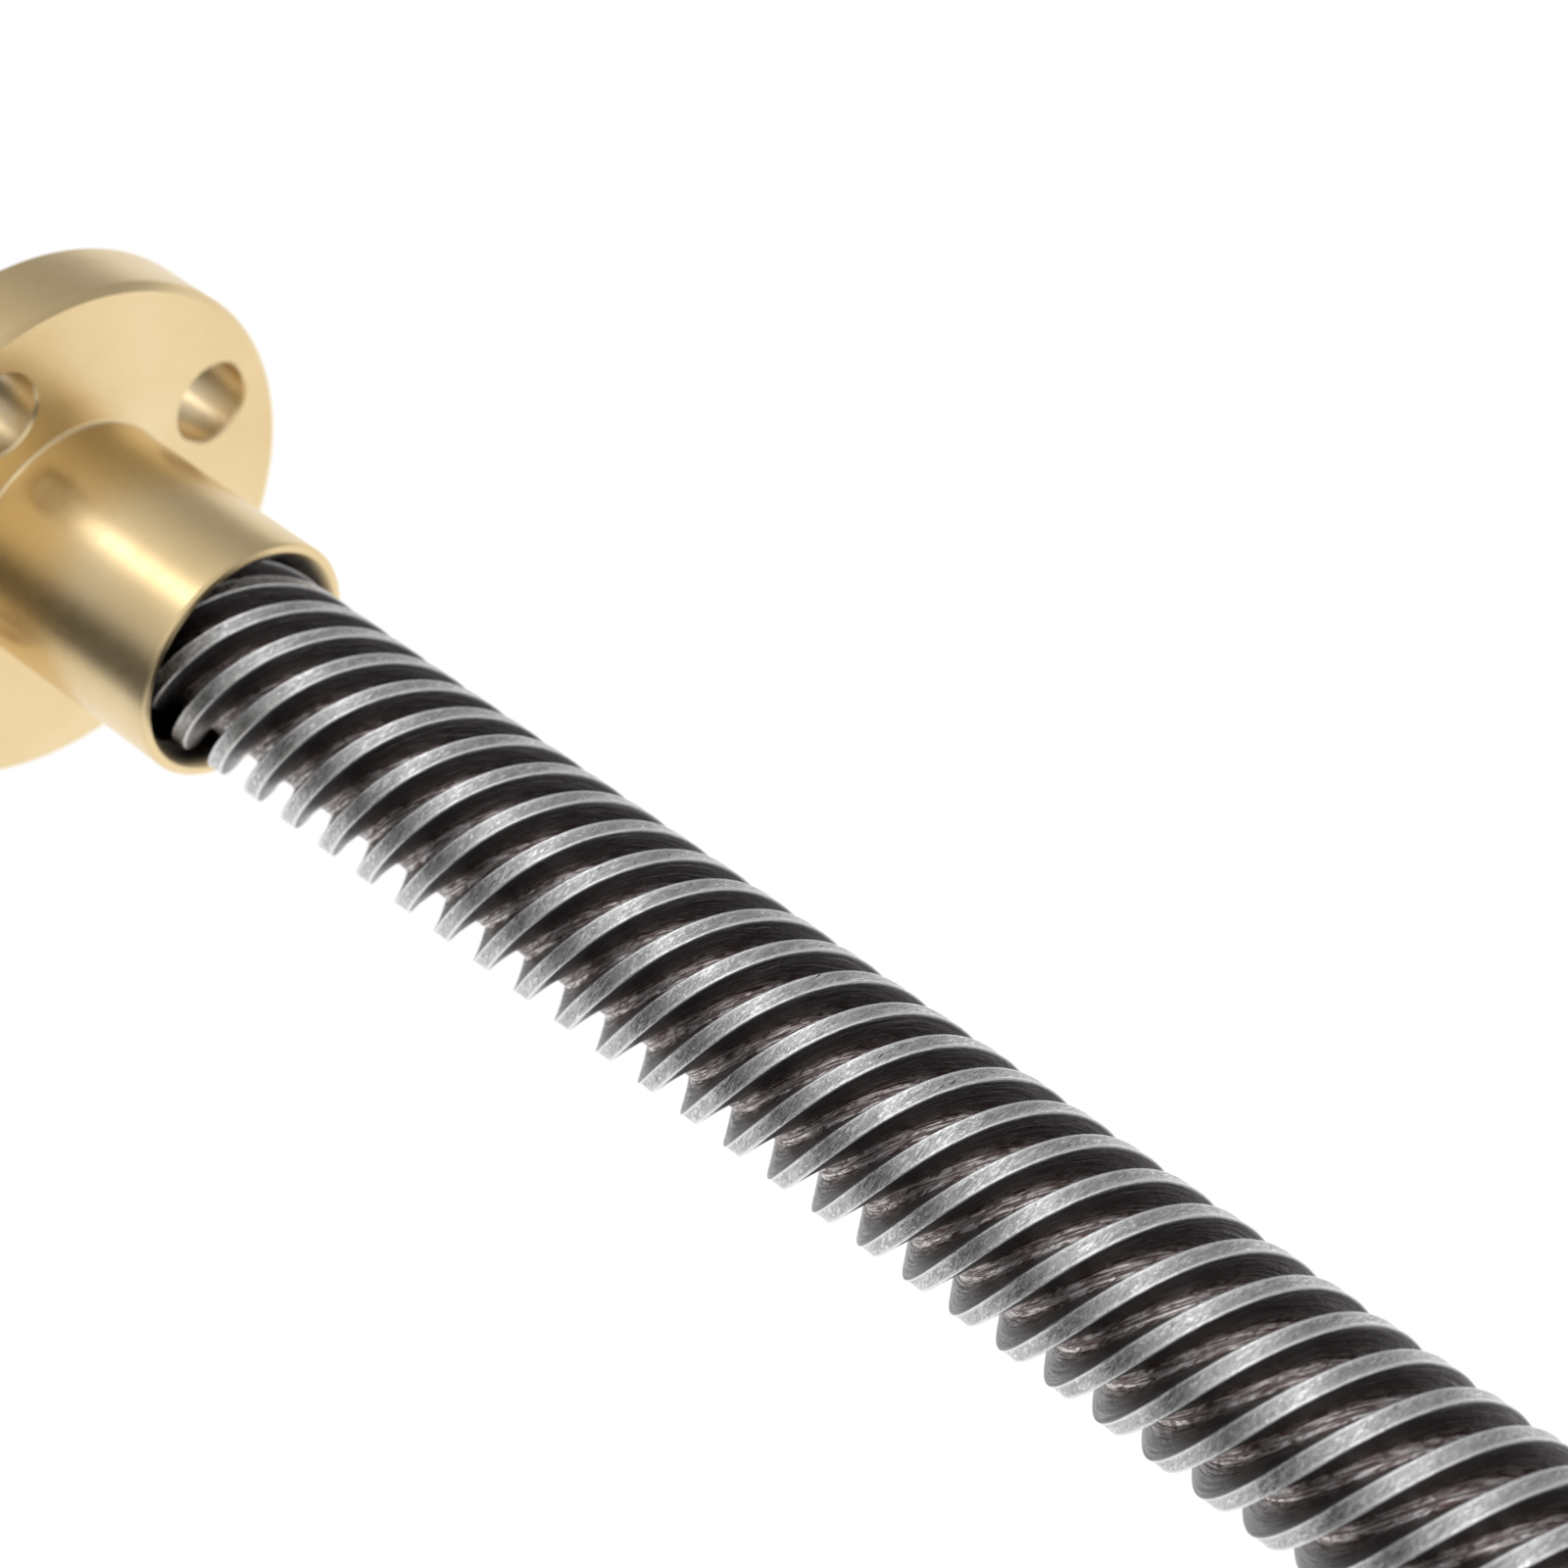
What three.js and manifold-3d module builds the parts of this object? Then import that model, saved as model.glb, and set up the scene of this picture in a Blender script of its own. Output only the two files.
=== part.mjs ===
// Hybrid stepper motor, 42 mm frame, with an integral six-start trapezoidal lead screw and a
// flanged brass travelling nut. Millimetres, +Z up. The pieces are laid out with x = 0 on the
// motor's mounting face and the screw's axis on X, +X running along the screw away from the
// motor. The assembly is then moved so that the origin lies on the motor's bottom side face,
// under the middle of the lamination stack.
import * as THREE from 'three';
import { mergeVertices } from 'three/addons/utils/BufferGeometryUtils.js';
import Module from 'manifold-3d';

const wasm = await Module();
wasm.setup();

// ---------------------------------------------------------------- shared dimensions
const FACE = 42.3;            // side of the square body
const HALF = FACE / 2;
const FRONT_L = 8;            // front cover
const STACK_L = 23;           // lamination stack
const REAR_L = 9;             // rear cover
const X_STACK_F = -FRONT_L;
const X_STACK_R = X_STACK_F - STACK_L;
const X_REAR = X_STACK_R - REAR_L;
const STACK_MID = (X_STACK_F + X_STACK_R) / 2;

const BOLT_HALF = 15.5;       // half of the 31 mm bolt square
const BOLT_HOLE_R = 1.7;      // in the stack and the rear cover
const HEAD_RECESS = 2.2;      // depth of the screw-head recesses in the rear cover
const POLES = 8;
const POLE_DEG = 360 / POLES;

const BORE_R = 2.56;          // bore of everything on the 5 mm journal
const SHAFT_R = 2.5;          // journal inside the motor
const THREAD_R = 4;           // 8 mm outside diameter
const NUT_END = 46;           // barrel end of the nut at rest

const BEARING_W = 5;
const BEARING_R = 8;
const POCKET_WALL = 1.2;      // from a cover's outside face to the floor of its bearing pocket
const FRONT_BEARING_X = -POCKET_WALL - BEARING_W / 2;      // centre of each bearing
const REAR_BEARING_X = X_REAR + 2.05 + BEARING_W / 2;

const OVERCUT = 1;            // cutters run this far past the face they open
const DEG = Math.PI / 180;

const CORNERS = [
  [BOLT_HALF, BOLT_HALF], [-BOLT_HALF, BOLT_HALF],
  [-BOLT_HALF, -BOLT_HALF], [BOLT_HALF, -BOLT_HALF],
];

// ---------------------------------------------------------------- finishes
const ALUMINIUM = { color: 0xb9bbbd, roughness: 0.45, metalness: 0.9 };
const LAMINATION = { color: 0x17181a, roughness: 0.5, metalness: 0.4 };
const ROTOR_STEEL = { color: 0x6f7173, roughness: 0.4, metalness: 1 };
const MAGNET = { color: 0x3c3e42, roughness: 0.5, metalness: 0.8 };
const SCREW_STEEL = { color: 0x9c9a97, roughness: 0.3, metalness: 1 };
const BRASS = { color: 0xcdb98a, roughness: 0.32, metalness: 1 };
const COPPER = { color: 0xa4562b, roughness: 0.35, metalness: 0.9 };
const NYLON = { color: 0xe9e6dc, roughness: 0.6, metalness: 0 };
const RING_STEEL = { color: 0xb5b7ba, roughness: 0.15, metalness: 1 };
const SHIELD_STEEL = { color: 0xa9abae, roughness: 0.3, metalness: 1 };
const CAGE_STEEL = { color: 0x8d8f92, roughness: 0.4, metalness: 1 };
const BALL_STEEL = { color: 0xc5c7ca, roughness: 0.08, metalness: 1 };
const SPRING_STEEL = { color: 0x9b9da0, roughness: 0.3, metalness: 1 };
const BLACK_STEEL = { color: 0x2b2c2e, roughness: 0.35, metalness: 0.9 };
const PIN_METAL = { color: 0xc9c2ae, roughness: 0.25, metalness: 1 };
const HOUSING_PLASTIC = { color: 0xefece2, roughness: 0.4, metalness: 0 };
const BOARD_GREEN = { color: 0x1e6b3a, roughness: 0.5, metalness: 0 };

// ---------------------------------------------------------------- meshes and solids
function indexed(positions, indices) {
  return new THREE.BufferGeometry()
    .setAttribute('position', new THREE.Float32BufferAttribute(positions, 3))
    .setIndex(indices);
}

// Merges vertices, drops collapsed triangles and turns the faces outward.
function tidy(source) {
  const bare = new THREE.BufferGeometry()
    .setAttribute('position', source.attributes.position)
    .setIndex(source.index);
  const merged = mergeVertices(bare, 1e-4);
  const { position } = merged.attributes;
  const corner = vertex => new THREE.Vector3().fromBufferAttribute(position, vertex);
  const triangles = [];
  let volume = 0;
  for (let i = 0; i < merged.index.count; i += 3) {
    const [first, second, third] = merged.index.array.slice(i, i + 3);
    if (first === second || second === third || first === third) continue;
    triangles.push([first, second, third]);
    volume += corner(first).dot(corner(second).cross(corner(third)));
  }
  const outward = ([first, second, third]) => (
    volume < 0 ? [first, third, second] : [first, second, third]);
  return indexed(position.array, triangles.flatMap(outward));
}

// Manifold of a geometry; a manifold passes through.
function solid(shape) {
  if (!shape.isBufferGeometry) return shape;
  const { attributes, index } = tidy(shape);
  return new wasm.Manifold(new wasm.Mesh({
    numProp: 3,
    vertProperties: new Float32Array(attributes.position.array),
    triVerts: new Uint32Array(index.array),
  }));
}

// Geometry of a manifold; a geometry passes through.
function geometry(shape) {
  if (shape.isBufferGeometry) return shape;
  const mesh = shape.getMesh();
  return indexed(mesh.vertProperties, [...mesh.triVerts]);
}

const cut = (body, ...tools) => tools.reduce((rest, tool) => rest.subtract(solid(tool)), solid(body));
const join = (body, ...others) => others.reduce((sum, other) => sum.add(solid(other)), solid(body));

const assembly = new THREE.Group();

function piece(name, shape, finish) {
  const mesh = new THREE.Mesh(tidy(geometry(shape)), new THREE.MeshStandardMaterial(finish));
  mesh.name = name;
  assembly.add(mesh);
}

// ---------------------------------------------------------------- outlines in YZ: (Y, Z) points
const polar = (radius, deg) => (
  new THREE.Vector2(radius * Math.cos(deg * DEG), radius * Math.sin(deg * DEG)));

// turn is a fraction of one segment.
const circle = (radius, segments, y = 0, z = 0, turn = 0) => (
  Array.from({ length: segments }, (_, i) => {
    const angle = (i + turn) / segments * 2 * Math.PI;
    return new THREE.Vector2(y + radius * Math.cos(angle), z + radius * Math.sin(angle));
  }));

const octagon = apothem => circle(apothem / Math.cos(22.5 * DEG), 8, 0, 0, 0.5);

// The body's square with chamfered corners.
function square(chamfer) {
  const edge = HALF - chamfer;
  return [
    [HALF, -edge], [HALF, edge], [edge, HALF], [-edge, HALF],
    [-HALF, edge], [-HALF, -edge], [-edge, -HALF], [edge, -HALF],
  ].map(([y, z]) => new THREE.Vector2(y, z));
}

// ---------------------------------------------------------------- basic shapes
function extrude(outline, depth, holes) {
  const shape = new THREE.Shape(outline);
  shape.holes = holes.map(hole => new THREE.Path(hole));
  return new THREE.ExtrudeGeometry(shape, { depth, bevelEnabled: false, steps: 1 });
}

// Carries an extrusion's own X, Y, Z to Y, Z, X.
const TO_X = new THREE.Matrix4().makeBasis(
  new THREE.Vector3(0, 1, 0), new THREE.Vector3(0, 0, 1), new THREE.Vector3(1, 0, 0));

// Prism along X of a YZ outline.
const prism = (outline, fromX, toX, holes = []) => (
  extrude(outline, toX - fromX, holes).applyMatrix4(TO_X).translate(fromX, 0, 0));

const rod = (fromX, toX, radius, segments, y = 0, z = 0) => (
  prism(circle(radius, segments), fromX, toX).translate(0, y, z));

// A rod with the journal bore.
const sleeve = (fromX, toX, radius, segments) => (
  prism(circle(radius, segments), fromX, toX, [circle(BORE_R, 16)]));

const cornerRods = (fromX, toX, radius, segments) => (
  CORNERS.map(([y, z]) => rod(fromX, toX, radius, segments, y, z)));

function box([fromX, toX], [fromY, toY], [fromZ, toZ]) {
  return new THREE.BoxGeometry(toX - fromX, toY - fromY, toZ - fromZ)
    .translate((fromX + toX) / 2, (fromY + toY) / 2, (fromZ + toZ) / 2);
}

// Body of revolution about X. Profile entries are [x, radius]; a profile that starts off the
// axis is closed back to its first point.
function turned(profile, segments) {
  const points = profile.map(([x, radius]) => new THREE.Vector2(radius, x));
  if (profile[0][1] > 0) points.push(points[0].clone());
  return new THREE.LatheGeometry(points, segments).rotateZ(-Math.PI / 2);
}

// Skin over sections with equal point counts, each {x, points: [[y, z]]}, closed by end fans.
function loft(sections) {
  const count = sections[0].points.length;
  const positions = sections.flatMap(({ x, points }) => points.flatMap(([y, z]) => [x, y, z]));
  const startCentre = positions.length / 3;
  const endCentre = startCentre + 1;
  positions.push(sections[0].x, 0, 0, sections.at(-1).x, 0, 0);
  const indices = [];
  for (let i = 0; i < sections.length - 1; i++) {
    for (let j = 0; j < count; j++) {
      const here = i * count + j;
      const next = i * count + (j + 1) % count;
      indices.push(here, next, next + count, here, next + count, here + count);
    }
  }
  const lastRing = (sections.length - 1) * count;
  for (let j = 0; j < count; j++) {
    const next = (j + 1) % count;
    indices.push(startCentre, next, j, endCentre, lastRing + j, lastRing + next);
  }
  return indexed(positions, indices);
}

// ---------------------------------------------------------------- covers
const COVER_CHAMFER = 3.6;    // corner chamfer leg
const CAVITY_A = 18.6;        // apothem of the octagonal end-turn cavities
const BOSS_R = 10.2;          // outside of the bearing bosses
const BOSS_PAST_BEARING = 0.6;
const POCKET_R = BEARING_R + 0.05;
const PILOT_R = 11;           // locating boss
const PILOT_L = 2;
const PILOT_CHAMFER = 0.4;
const SCREW_HOLE_R = 4.6;     // front cover's hole around the screw
const REAR_HOLE_R = 4;        // rear cover's hole on the axis

const CONN_Y = 8.1;           // connector housing: half width and extents
const CONN_X0 = -38.2;
const CONN_X1 = X_STACK_R - 0.25;
const CONN_Z0 = 18.8;
const CONN_Z1 = 25.4;
const CONN_GAP = 0.15;        // between the housing and its opening in the rear cover

function frontCover() {
  const pilot = turned([
    [-OVERCUT, 0], [-OVERCUT, PILOT_R], [PILOT_L - PILOT_CHAMFER, PILOT_R],
    [PILOT_L, PILOT_R - PILOT_CHAMFER], [PILOT_L, 0],
  ], 40);
  const inside = X_STACK_F - OVERCUT;
  const bossEnd = FRONT_BEARING_X - BEARING_W / 2 - BOSS_PAST_BEARING;
  const cavity = cut(prism(octagon(CAVITY_A), inside, -2.5), rod(inside - OVERCUT, 0, BOSS_R, 24));
  return cut(
    join(prism(square(COVER_CHAMFER), X_STACK_F, 0), pilot),
    cavity,
    rod(inside, bossEnd, BOSS_R + 0.5, 24),
    rod(inside - OVERCUT, -POCKET_WALL, POCKET_R, 20),
    rod(-POCKET_WALL - OVERCUT, PILOT_L + OVERCUT, SCREW_HOLE_R, 24),
    ...cornerRods(inside, OVERCUT, 1.6, 12));
}

function rearCover() {
  const inside = X_STACK_R + OVERCUT;
  const outside = X_REAR - OVERCUT;
  const pocketFloor = X_REAR + POCKET_WALL;
  const bossEnd = REAR_BEARING_X + BEARING_W / 2 + BOSS_PAST_BEARING;
  const cavity = cut(
    prism(octagon(CAVITY_A), X_REAR + 2.6, inside),
    rod(X_REAR, inside + OVERCUT, BOSS_R, 24));
  const openingY = CONN_Y + CONN_GAP;
  return cut(
    prism(square(COVER_CHAMFER), X_REAR, X_STACK_R),
    cavity,
    rod(bossEnd, inside, BOSS_R + 0.5, 24),
    rod(pocketFloor, inside, POCKET_R, 20),
    rod(outside, pocketFloor + OVERCUT, REAR_HOLE_R, 24),
    ...cornerRods(outside, inside, BOLT_HOLE_R, 12),
    ...cornerRods(outside, X_REAR + HEAD_RECESS, 3.0, 16),
    box([CONN_X0 - CONN_GAP, inside], [-openingY, openingY], [CONN_Z0 - 0.9, HALF + OVERCUT]));
}

piece('front_cover', frontCover(), ALUMINIUM);
piece('rear_cover', rearCover(), ALUMINIUM);

// ---------------------------------------------------------------- lamination stack, toothed poles
const STACK_CHAMFER = 5.2;    // corner chamfer leg
const STATOR_R = 13.1;        // tooth tips
const STATOR_TOOTH_H = 0.8;
const POLE_TEETH = 6;
const ROTOR_TEETH = 50;
const TOOTH_PITCH = 360 / ROTOR_TEETH;                      // degrees, rotor and stator alike
const TOOTH_DEG = TOOTH_PITCH / 2;                          // a stator tooth's width
const SHOE_DEG = ((POLE_TEETH - 1) * TOOTH_PITCH + TOOTH_DEG) / 2;   // half of a pole shoe
const SHOE_EDGE_R = 14.5;     // back of the shoe at its ends
const NECK_FOOT = 14.7;       // where the pole neck meets the shoe
const POLE_HALF = 2.3;        // half width of a pole neck
const YOKE_A = 18.2;          // apothem of the octagonal yoke inside

function statorCore() {
  const inner = [];
  for (let k = 0; k < POLES; k++) {
    const axis = POLE_DEG * k;
    const cos = Math.cos(axis * DEG);
    const sin = Math.sin(axis * DEG);
    const onPole = (out, side) => new THREE.Vector2(out * cos - side * sin, out * sin + side * cos);
    inner.push(
      polar(YOKE_A / Math.cos(22.5 * DEG), axis - 22.5),
      onPole(YOKE_A, -POLE_HALF), onPole(NECK_FOOT, -POLE_HALF),
      polar(SHOE_EDGE_R, axis - SHOE_DEG));
    for (let j = 0; j < POLE_TEETH; j++) {
      const start = axis - SHOE_DEG + TOOTH_PITCH * j;
      const end = start + TOOTH_DEG;
      inner.push(polar(STATOR_R, start), polar(STATOR_R, end));
      if (j < POLE_TEETH - 1) {
        const slotR = STATOR_R + STATOR_TOOTH_H;
        inner.push(polar(slotR, end), polar(slotR, start + TOOTH_PITCH));
      }
    }
    inner.push(
      polar(SHOE_EDGE_R, axis + SHOE_DEG),
      onPole(NECK_FOOT, POLE_HALF), onPole(YOKE_A, POLE_HALF));
  }
  const boltHoles = CORNERS.map(([y, z]) => circle(BOLT_HOLE_R, 12, y, z));
  return prism(square(STACK_CHAMFER), X_STACK_R, X_STACK_F, [inner, ...boltHoles]);
}

piece('stator_core', statorCore(), LAMINATION);

// ---------------------------------------------------------------- bobbins at the ends of the stack
const BOBBIN_WALL = { outer: 18.5, inner: 18.0, height: 3.9 };   // octagon apothems
// Blocks on each pole: radial extent, half width, height off the stack.
const BOBBIN_BLOCKS = [
  { radial: [13.7, 18.2], half: 2.5, height: 0.8 },
  { radial: [13.7, 14.8], half: 4.6, height: 3.7 },
];

// direction is +1 when the bobbin stands off its face toward +X, -1 toward -X.
function bobbin(face, direction) {
  const span = height => (direction > 0 ? [face, face + height] : [face - height, face]);
  const { outer, inner, height: wallHeight } = BOBBIN_WALL;
  let body = solid(prism(octagon(outer), ...span(wallHeight), [octagon(inner)]));
  for (let k = 0; k < POLES; k++) {
    for (const { radial, half, height } of BOBBIN_BLOCKS) {
      body = join(body, box(span(height), radial, [-half, half]).rotateX(POLE_DEG * k * DEG));
    }
  }
  return body;
}

piece('front_bobbin', bobbin(X_STACK_F, 1), NYLON);
piece('rear_bobbin', bobbin(X_STACK_R, -1), NYLON);

// ---------------------------------------------------------------- coils, one on each pole
const COIL_OUTER = { halfX: STACK_L / 2 + 3.8, halfY: 5.6, radius: 2.4 };
const COIL_INNER = { halfX: STACK_L / 2 + 0.9, halfY: 2.7, radius: 0.4 };
const COIL_T = 2.85;          // radial thickness
const COIL_BASE = 15.02;      // distance of its inner face from the axis

// Rectangle in XY with corners rounded in two 45 degree steps.
function roundedRectangle({ halfX, halfY, radius }) {
  const quadrants = [[1, 1], [-1, 1], [-1, -1], [1, -1]];
  return quadrants.flatMap(([signX, signY], i) => [0, 45, 90].map(step => (
    polar(radius, 90 * i + step)
      .add(new THREE.Vector2(signX * (halfX - radius), signY * (halfY - radius))))));
}

// Built on the pole that points along +Z, then turned to its place.
function coil(k) {
  return extrude(roundedRectangle(COIL_OUTER), COIL_T, [roundedRectangle(COIL_INNER)])
    .translate(STACK_MID, 0, COIL_BASE)
    .rotateX(POLE_DEG * k * DEG);
}

for (let k = 0; k < POLES; k++) piece(`winding_${k + 1}`, coil(k), COPPER);

// ---------------------------------------------------------------- rotor: cups, magnet, spacers
const ROTOR_R = 13.0;         // tooth tips
const ROTOR_ROOT_R = 12.2;
const TIP_HALF_DEG = 1.75;
const ROOT_HALF_DEG = 1.95;
const CUP_L = 9.5;
const MAGNET_L = 2;
const MAGNET_R = 11.5;
const SPACER_R = 3.7;
const ROTOR_MID = STACK_MID - 0.1;
const MAGNET_F = ROTOR_MID + MAGNET_L / 2;
const MAGNET_B = ROTOR_MID - MAGNET_L / 2;
const ROTOR_F = MAGNET_F + CUP_L;
const ROTOR_B = MAGNET_B - CUP_L;

function rotorCup(fromX, toX, turnDeg) {
  const outline = [];
  for (let i = 0; i < ROTOR_TEETH; i++) {
    const axis = i * TOOTH_PITCH + turnDeg;
    outline.push(
      polar(ROTOR_R, axis - TIP_HALF_DEG), polar(ROTOR_R, axis + TIP_HALF_DEG),
      polar(ROTOR_ROOT_R, axis + ROOT_HALF_DEG),
      polar(ROTOR_ROOT_R, axis + TOOTH_PITCH - ROOT_HALF_DEG));
  }
  return prism(outline, fromX, toX, [circle(BORE_R, 16)]);
}

const frontSpacer = sleeve(ROTOR_F, FRONT_BEARING_X - BEARING_W / 2, SPACER_R, 16);
const rearSpacer = sleeve(REAR_BEARING_X + BEARING_W / 2, ROTOR_B, SPACER_R, 16);

piece('rotor_cup_front', rotorCup(MAGNET_F, ROTOR_F, 0), ROTOR_STEEL);
piece('rotor_cup_rear', rotorCup(ROTOR_B, MAGNET_B, TOOTH_PITCH / 2), ROTOR_STEEL);
piece('rotor_magnet', sleeve(MAGNET_B, MAGNET_F, MAGNET_R, 24), MAGNET);
piece('rotor_spacer_front', frontSpacer, BRASS);
piece('rotor_spacer_rear', rearSpacer, BRASS);

// ---------------------------------------------------------------- thread form
const THREAD_ROOT_R = 2.78;
const STARTS = 6;
const LEAD = 12;              // left-hand: the nut moves to +X when the screw turns + about +X
const CREST_W = 0.70;         // axial width of a crest
const FLANK_W = 0.327;        // axial width of a flank, 30 degrees included
const CREST_GROWTH = 0.62;    // added to a crest's half width per mm of outward offset
const PHASE_X = NUT_END + 3.907;   // a crest crosses the PHASE_DEG generator here
const PHASE_DEG = 204.92;

// Section at x: each start gives a crest and a root, four corners. grow offsets it outward. A
// plainRadius puts every corner on one circle. phaseX is the station that sets the angles.
function threadSection(x, { grow = 0, plainRadius, phaseX = x } = {}) {
  const degPerMm = 360 / LEAD;
  const crest = (CREST_W / 2 + grow * CREST_GROWTH) * degPerMm;
  const root = crest + FLANK_W * degPerMm;
  const corners = [
    [-root, THREAD_ROOT_R], [-crest, THREAD_R], [crest, THREAD_R], [root, THREAD_ROOT_R],
  ];
  const points = [];
  for (let k = 0; k < STARTS; k++) {
    const axis = PHASE_DEG - (phaseX - PHASE_X) * degPerMm + k * 360 / STARTS;
    for (const [offset, radius] of corners) {
      points.push(polar(plainRadius ?? radius + grow, axis + offset).toArray());
    }
  }
  return { x, points };
}

const threadRun = (fromX, toX, steps, grow) => Array.from({ length: steps + 1 }, (_, i) => (
  threadSection(fromX + (toX - fromX) * i / steps, { grow })));

// ---------------------------------------------------------------- lead screw
const SCREW_TIP = 110;        // free end
const TIP_CHAMFER_L = 1.2;
const THREAD_START = 3.2;
const RUN_OUT_L = 0.9;        // plain cylinder to full thread at the motor end
const THREAD_STEP = 1.0;      // nominal spacing of the sections
const SHOULDER_X = -1.15;

function leadScrew() {
  const threadEnd = SCREW_TIP - TIP_CHAMFER_L;
  const steps = Math.round((threadEnd - THREAD_START) / THREAD_STEP);
  // [x, radius] of the round part, from the rear end to the thread
  const stations = [
    [X_REAR + 1.6, SHAFT_R - 0.4], [X_REAR + 2.0, SHAFT_R],
    [SHOULDER_X, SHAFT_R], [SHOULDER_X, THREAD_R - 0.3],
    [SHOULDER_X + 0.3, THREAD_R], [THREAD_START - RUN_OUT_L, THREAD_R],
  ];
  return loft([
    ...stations.map(([x, radius]) => (
      threadSection(x, { plainRadius: radius, phaseX: THREAD_START }))),
    ...threadRun(THREAD_START, threadEnd, steps, 0),
    threadSection(SCREW_TIP, { plainRadius: THREAD_ROOT_R }),
  ]);
}

piece('lead_screw', leadScrew(), SCREW_STEEL);

// ---------------------------------------------------------------- ball bearings, 5 x 16 x 5
const BALLS = 7;
const BALL_R = 1.5;
const BALL_PITCH_R = 5.25;
const OUTER_LAND_R = 6.65;    // bore of the outer ring beside its groove
const OUTER_GROOVE_R = 7.05;
const INNER_LAND_R = 4.0;     // outside of the inner ring beside its groove
const INNER_GROOVE_R = 3.68;
const GROOVE_HALF = 1.35;
const SHIELD_X = [1.95, 2.2];
const SHIELD_R = [4.25, 6.5];

// Crown cage: a ring on the +X side of the balls with a finger between each pair.
function cage(centreX) {
  const ring = prism(circle(5.75, 21), centreX + 1.55, centreX + 1.85, [circle(4.75, 21)]);
  const fingers = Array.from({ length: BALLS }, (_, i) => (
    box([centreX - 1.0, centreX + 1.7], [4.95, 5.5], [-0.4, 0.4])
      .rotateX((i + 0.5) / BALLS * 2 * Math.PI)));
  return join(ring, ...fingers);
}

function ball(centreX, angle) {
  const y = BALL_PITCH_R * Math.cos(angle);
  const z = BALL_PITCH_R * Math.sin(angle);
  return new THREE.OctahedronGeometry(BALL_R, 1).rotateX(angle).translate(centreX, y, z);
}

function bearing(side, centreX) {
  const half = BEARING_W / 2;
  const ring = profile => turned(profile.map(([x, radius]) => [centreX + x, radius]), 20);
  const shield = (fromX, toX) => {
    const [inner, outer] = SHIELD_R;
    return ring([[fromX, inner], [toX, inner], [toX, outer], [fromX, outer]]);
  };
  const outerRing = ring([
    [-half, BEARING_R], [half, BEARING_R], [half, OUTER_LAND_R], [GROOVE_HALF, OUTER_LAND_R],
    [0, OUTER_GROOVE_R], [-GROOVE_HALF, OUTER_LAND_R], [-half, OUTER_LAND_R],
  ]);
  const innerRing = ring([
    [-half, INNER_LAND_R], [-GROOVE_HALF, INNER_LAND_R], [0, INNER_GROOVE_R],
    [GROOVE_HALF, INNER_LAND_R], [half, INNER_LAND_R], [half, BORE_R], [-half, BORE_R],
  ]);
  const [near, far] = SHIELD_X;
  piece(`${side}_bearing_outer_ring`, outerRing, RING_STEEL);
  piece(`${side}_bearing_inner_ring`, innerRing, RING_STEEL);
  piece(`${side}_bearing_shield_front`, shield(near, far), SHIELD_STEEL);
  piece(`${side}_bearing_shield_rear`, shield(-far, -near), SHIELD_STEEL);
  piece(`${side}_bearing_cage`, cage(centreX), CAGE_STEEL);
  for (let i = 0; i < BALLS; i++) {
    piece(`${side}_bearing_ball_${i + 1}`, ball(centreX, i / BALLS * 2 * Math.PI), BALL_STEEL);
  }
}

bearing('front', FRONT_BEARING_X);
bearing('rear', REAR_BEARING_X);

// ---------------------------------------------------------------- wave washer behind rear bearing
const WASHER = { inner: 6.1, outer: 7.7, thickness: 0.25, gap: 0.02, waves: 3, segments: 24 };

function waveWasher() {
  const { inner, outer, thickness, gap, waves, segments } = WASHER;
  const low = X_REAR + POCKET_WALL + gap;
  const high = REAR_BEARING_X - BEARING_W / 2 - gap - thickness;
  const corners = [[0, inner], [0, outer], [thickness, outer], [thickness, inner]];
  const positions = [];
  const indices = [];
  for (let i = 0; i < segments; i++) {
    const angle = i / segments * 2 * Math.PI;
    const x = (low + high) / 2 + (high - low) / 2 * Math.cos(waves * angle);
    for (const [offset, radius] of corners) {
      positions.push(x + offset, radius * Math.cos(angle), radius * Math.sin(angle));
    }
    const here = i * 4;
    const ahead = ((i + 1) % segments) * 4;
    for (let j = 0; j < 4; j++) {
      const next = (j + 1) % 4;
      indices.push(here + j, ahead + j, ahead + next, here + j, ahead + next, here + next);
    }
  }
  return indexed(positions, indices);
}

piece('wave_washer', waveWasher(), SPRING_STEEL);

// ---------------------------------------------------------------- case screws, M3, socket heads
const HEAD_R = 2.7;
const HEAD_H = 2.0;
const HEAD_CHAMFER = 0.25;
const SHANK_R = 1.45;
const SHANK_END_R = 1.1;
const SHANK_TIP_X = -4.0;
const SOCKET_APOTHEM = 1.25;

function caseScrew(y, z) {
  const seat = X_REAR + HEAD_RECESS;
  const top = seat - HEAD_H;
  const body = turned([
    [top, 0], [top, HEAD_R - HEAD_CHAMFER], [top + HEAD_CHAMFER, HEAD_R], [seat, HEAD_R],
    [seat, SHANK_R], [SHANK_TIP_X - 0.4, SHANK_R], [SHANK_TIP_X, SHANK_END_R], [SHANK_TIP_X, 0],
  ], 12);
  const socket = rod(top - OVERCUT, seat - 0.9, SOCKET_APOTHEM / Math.cos(30 * DEG), 6);
  return geometry(cut(body, socket)).translate(0, y, z);
}

CORNERS.forEach(([y, z], i) => piece(`case_screw_${i + 1}`, caseScrew(y, z), BLACK_STEEL));

// ---------------------------------------------------------------- connector and terminal board
const PINS = 6;
const PIN_PITCH = 2;
const PIN_X = -35.6;
const PIN_HALF = 0.25;
const PIN_SLOT_HALF = 0.3;
const CONN_WALL_X = 0.8;
const CONN_WALL_Y = 0.9;
const CONN_FLOOR = 1.2;
const NOTCH_FLOOR = 2.4;      // height of the notches in the +X wall above the housing's bottom

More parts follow.
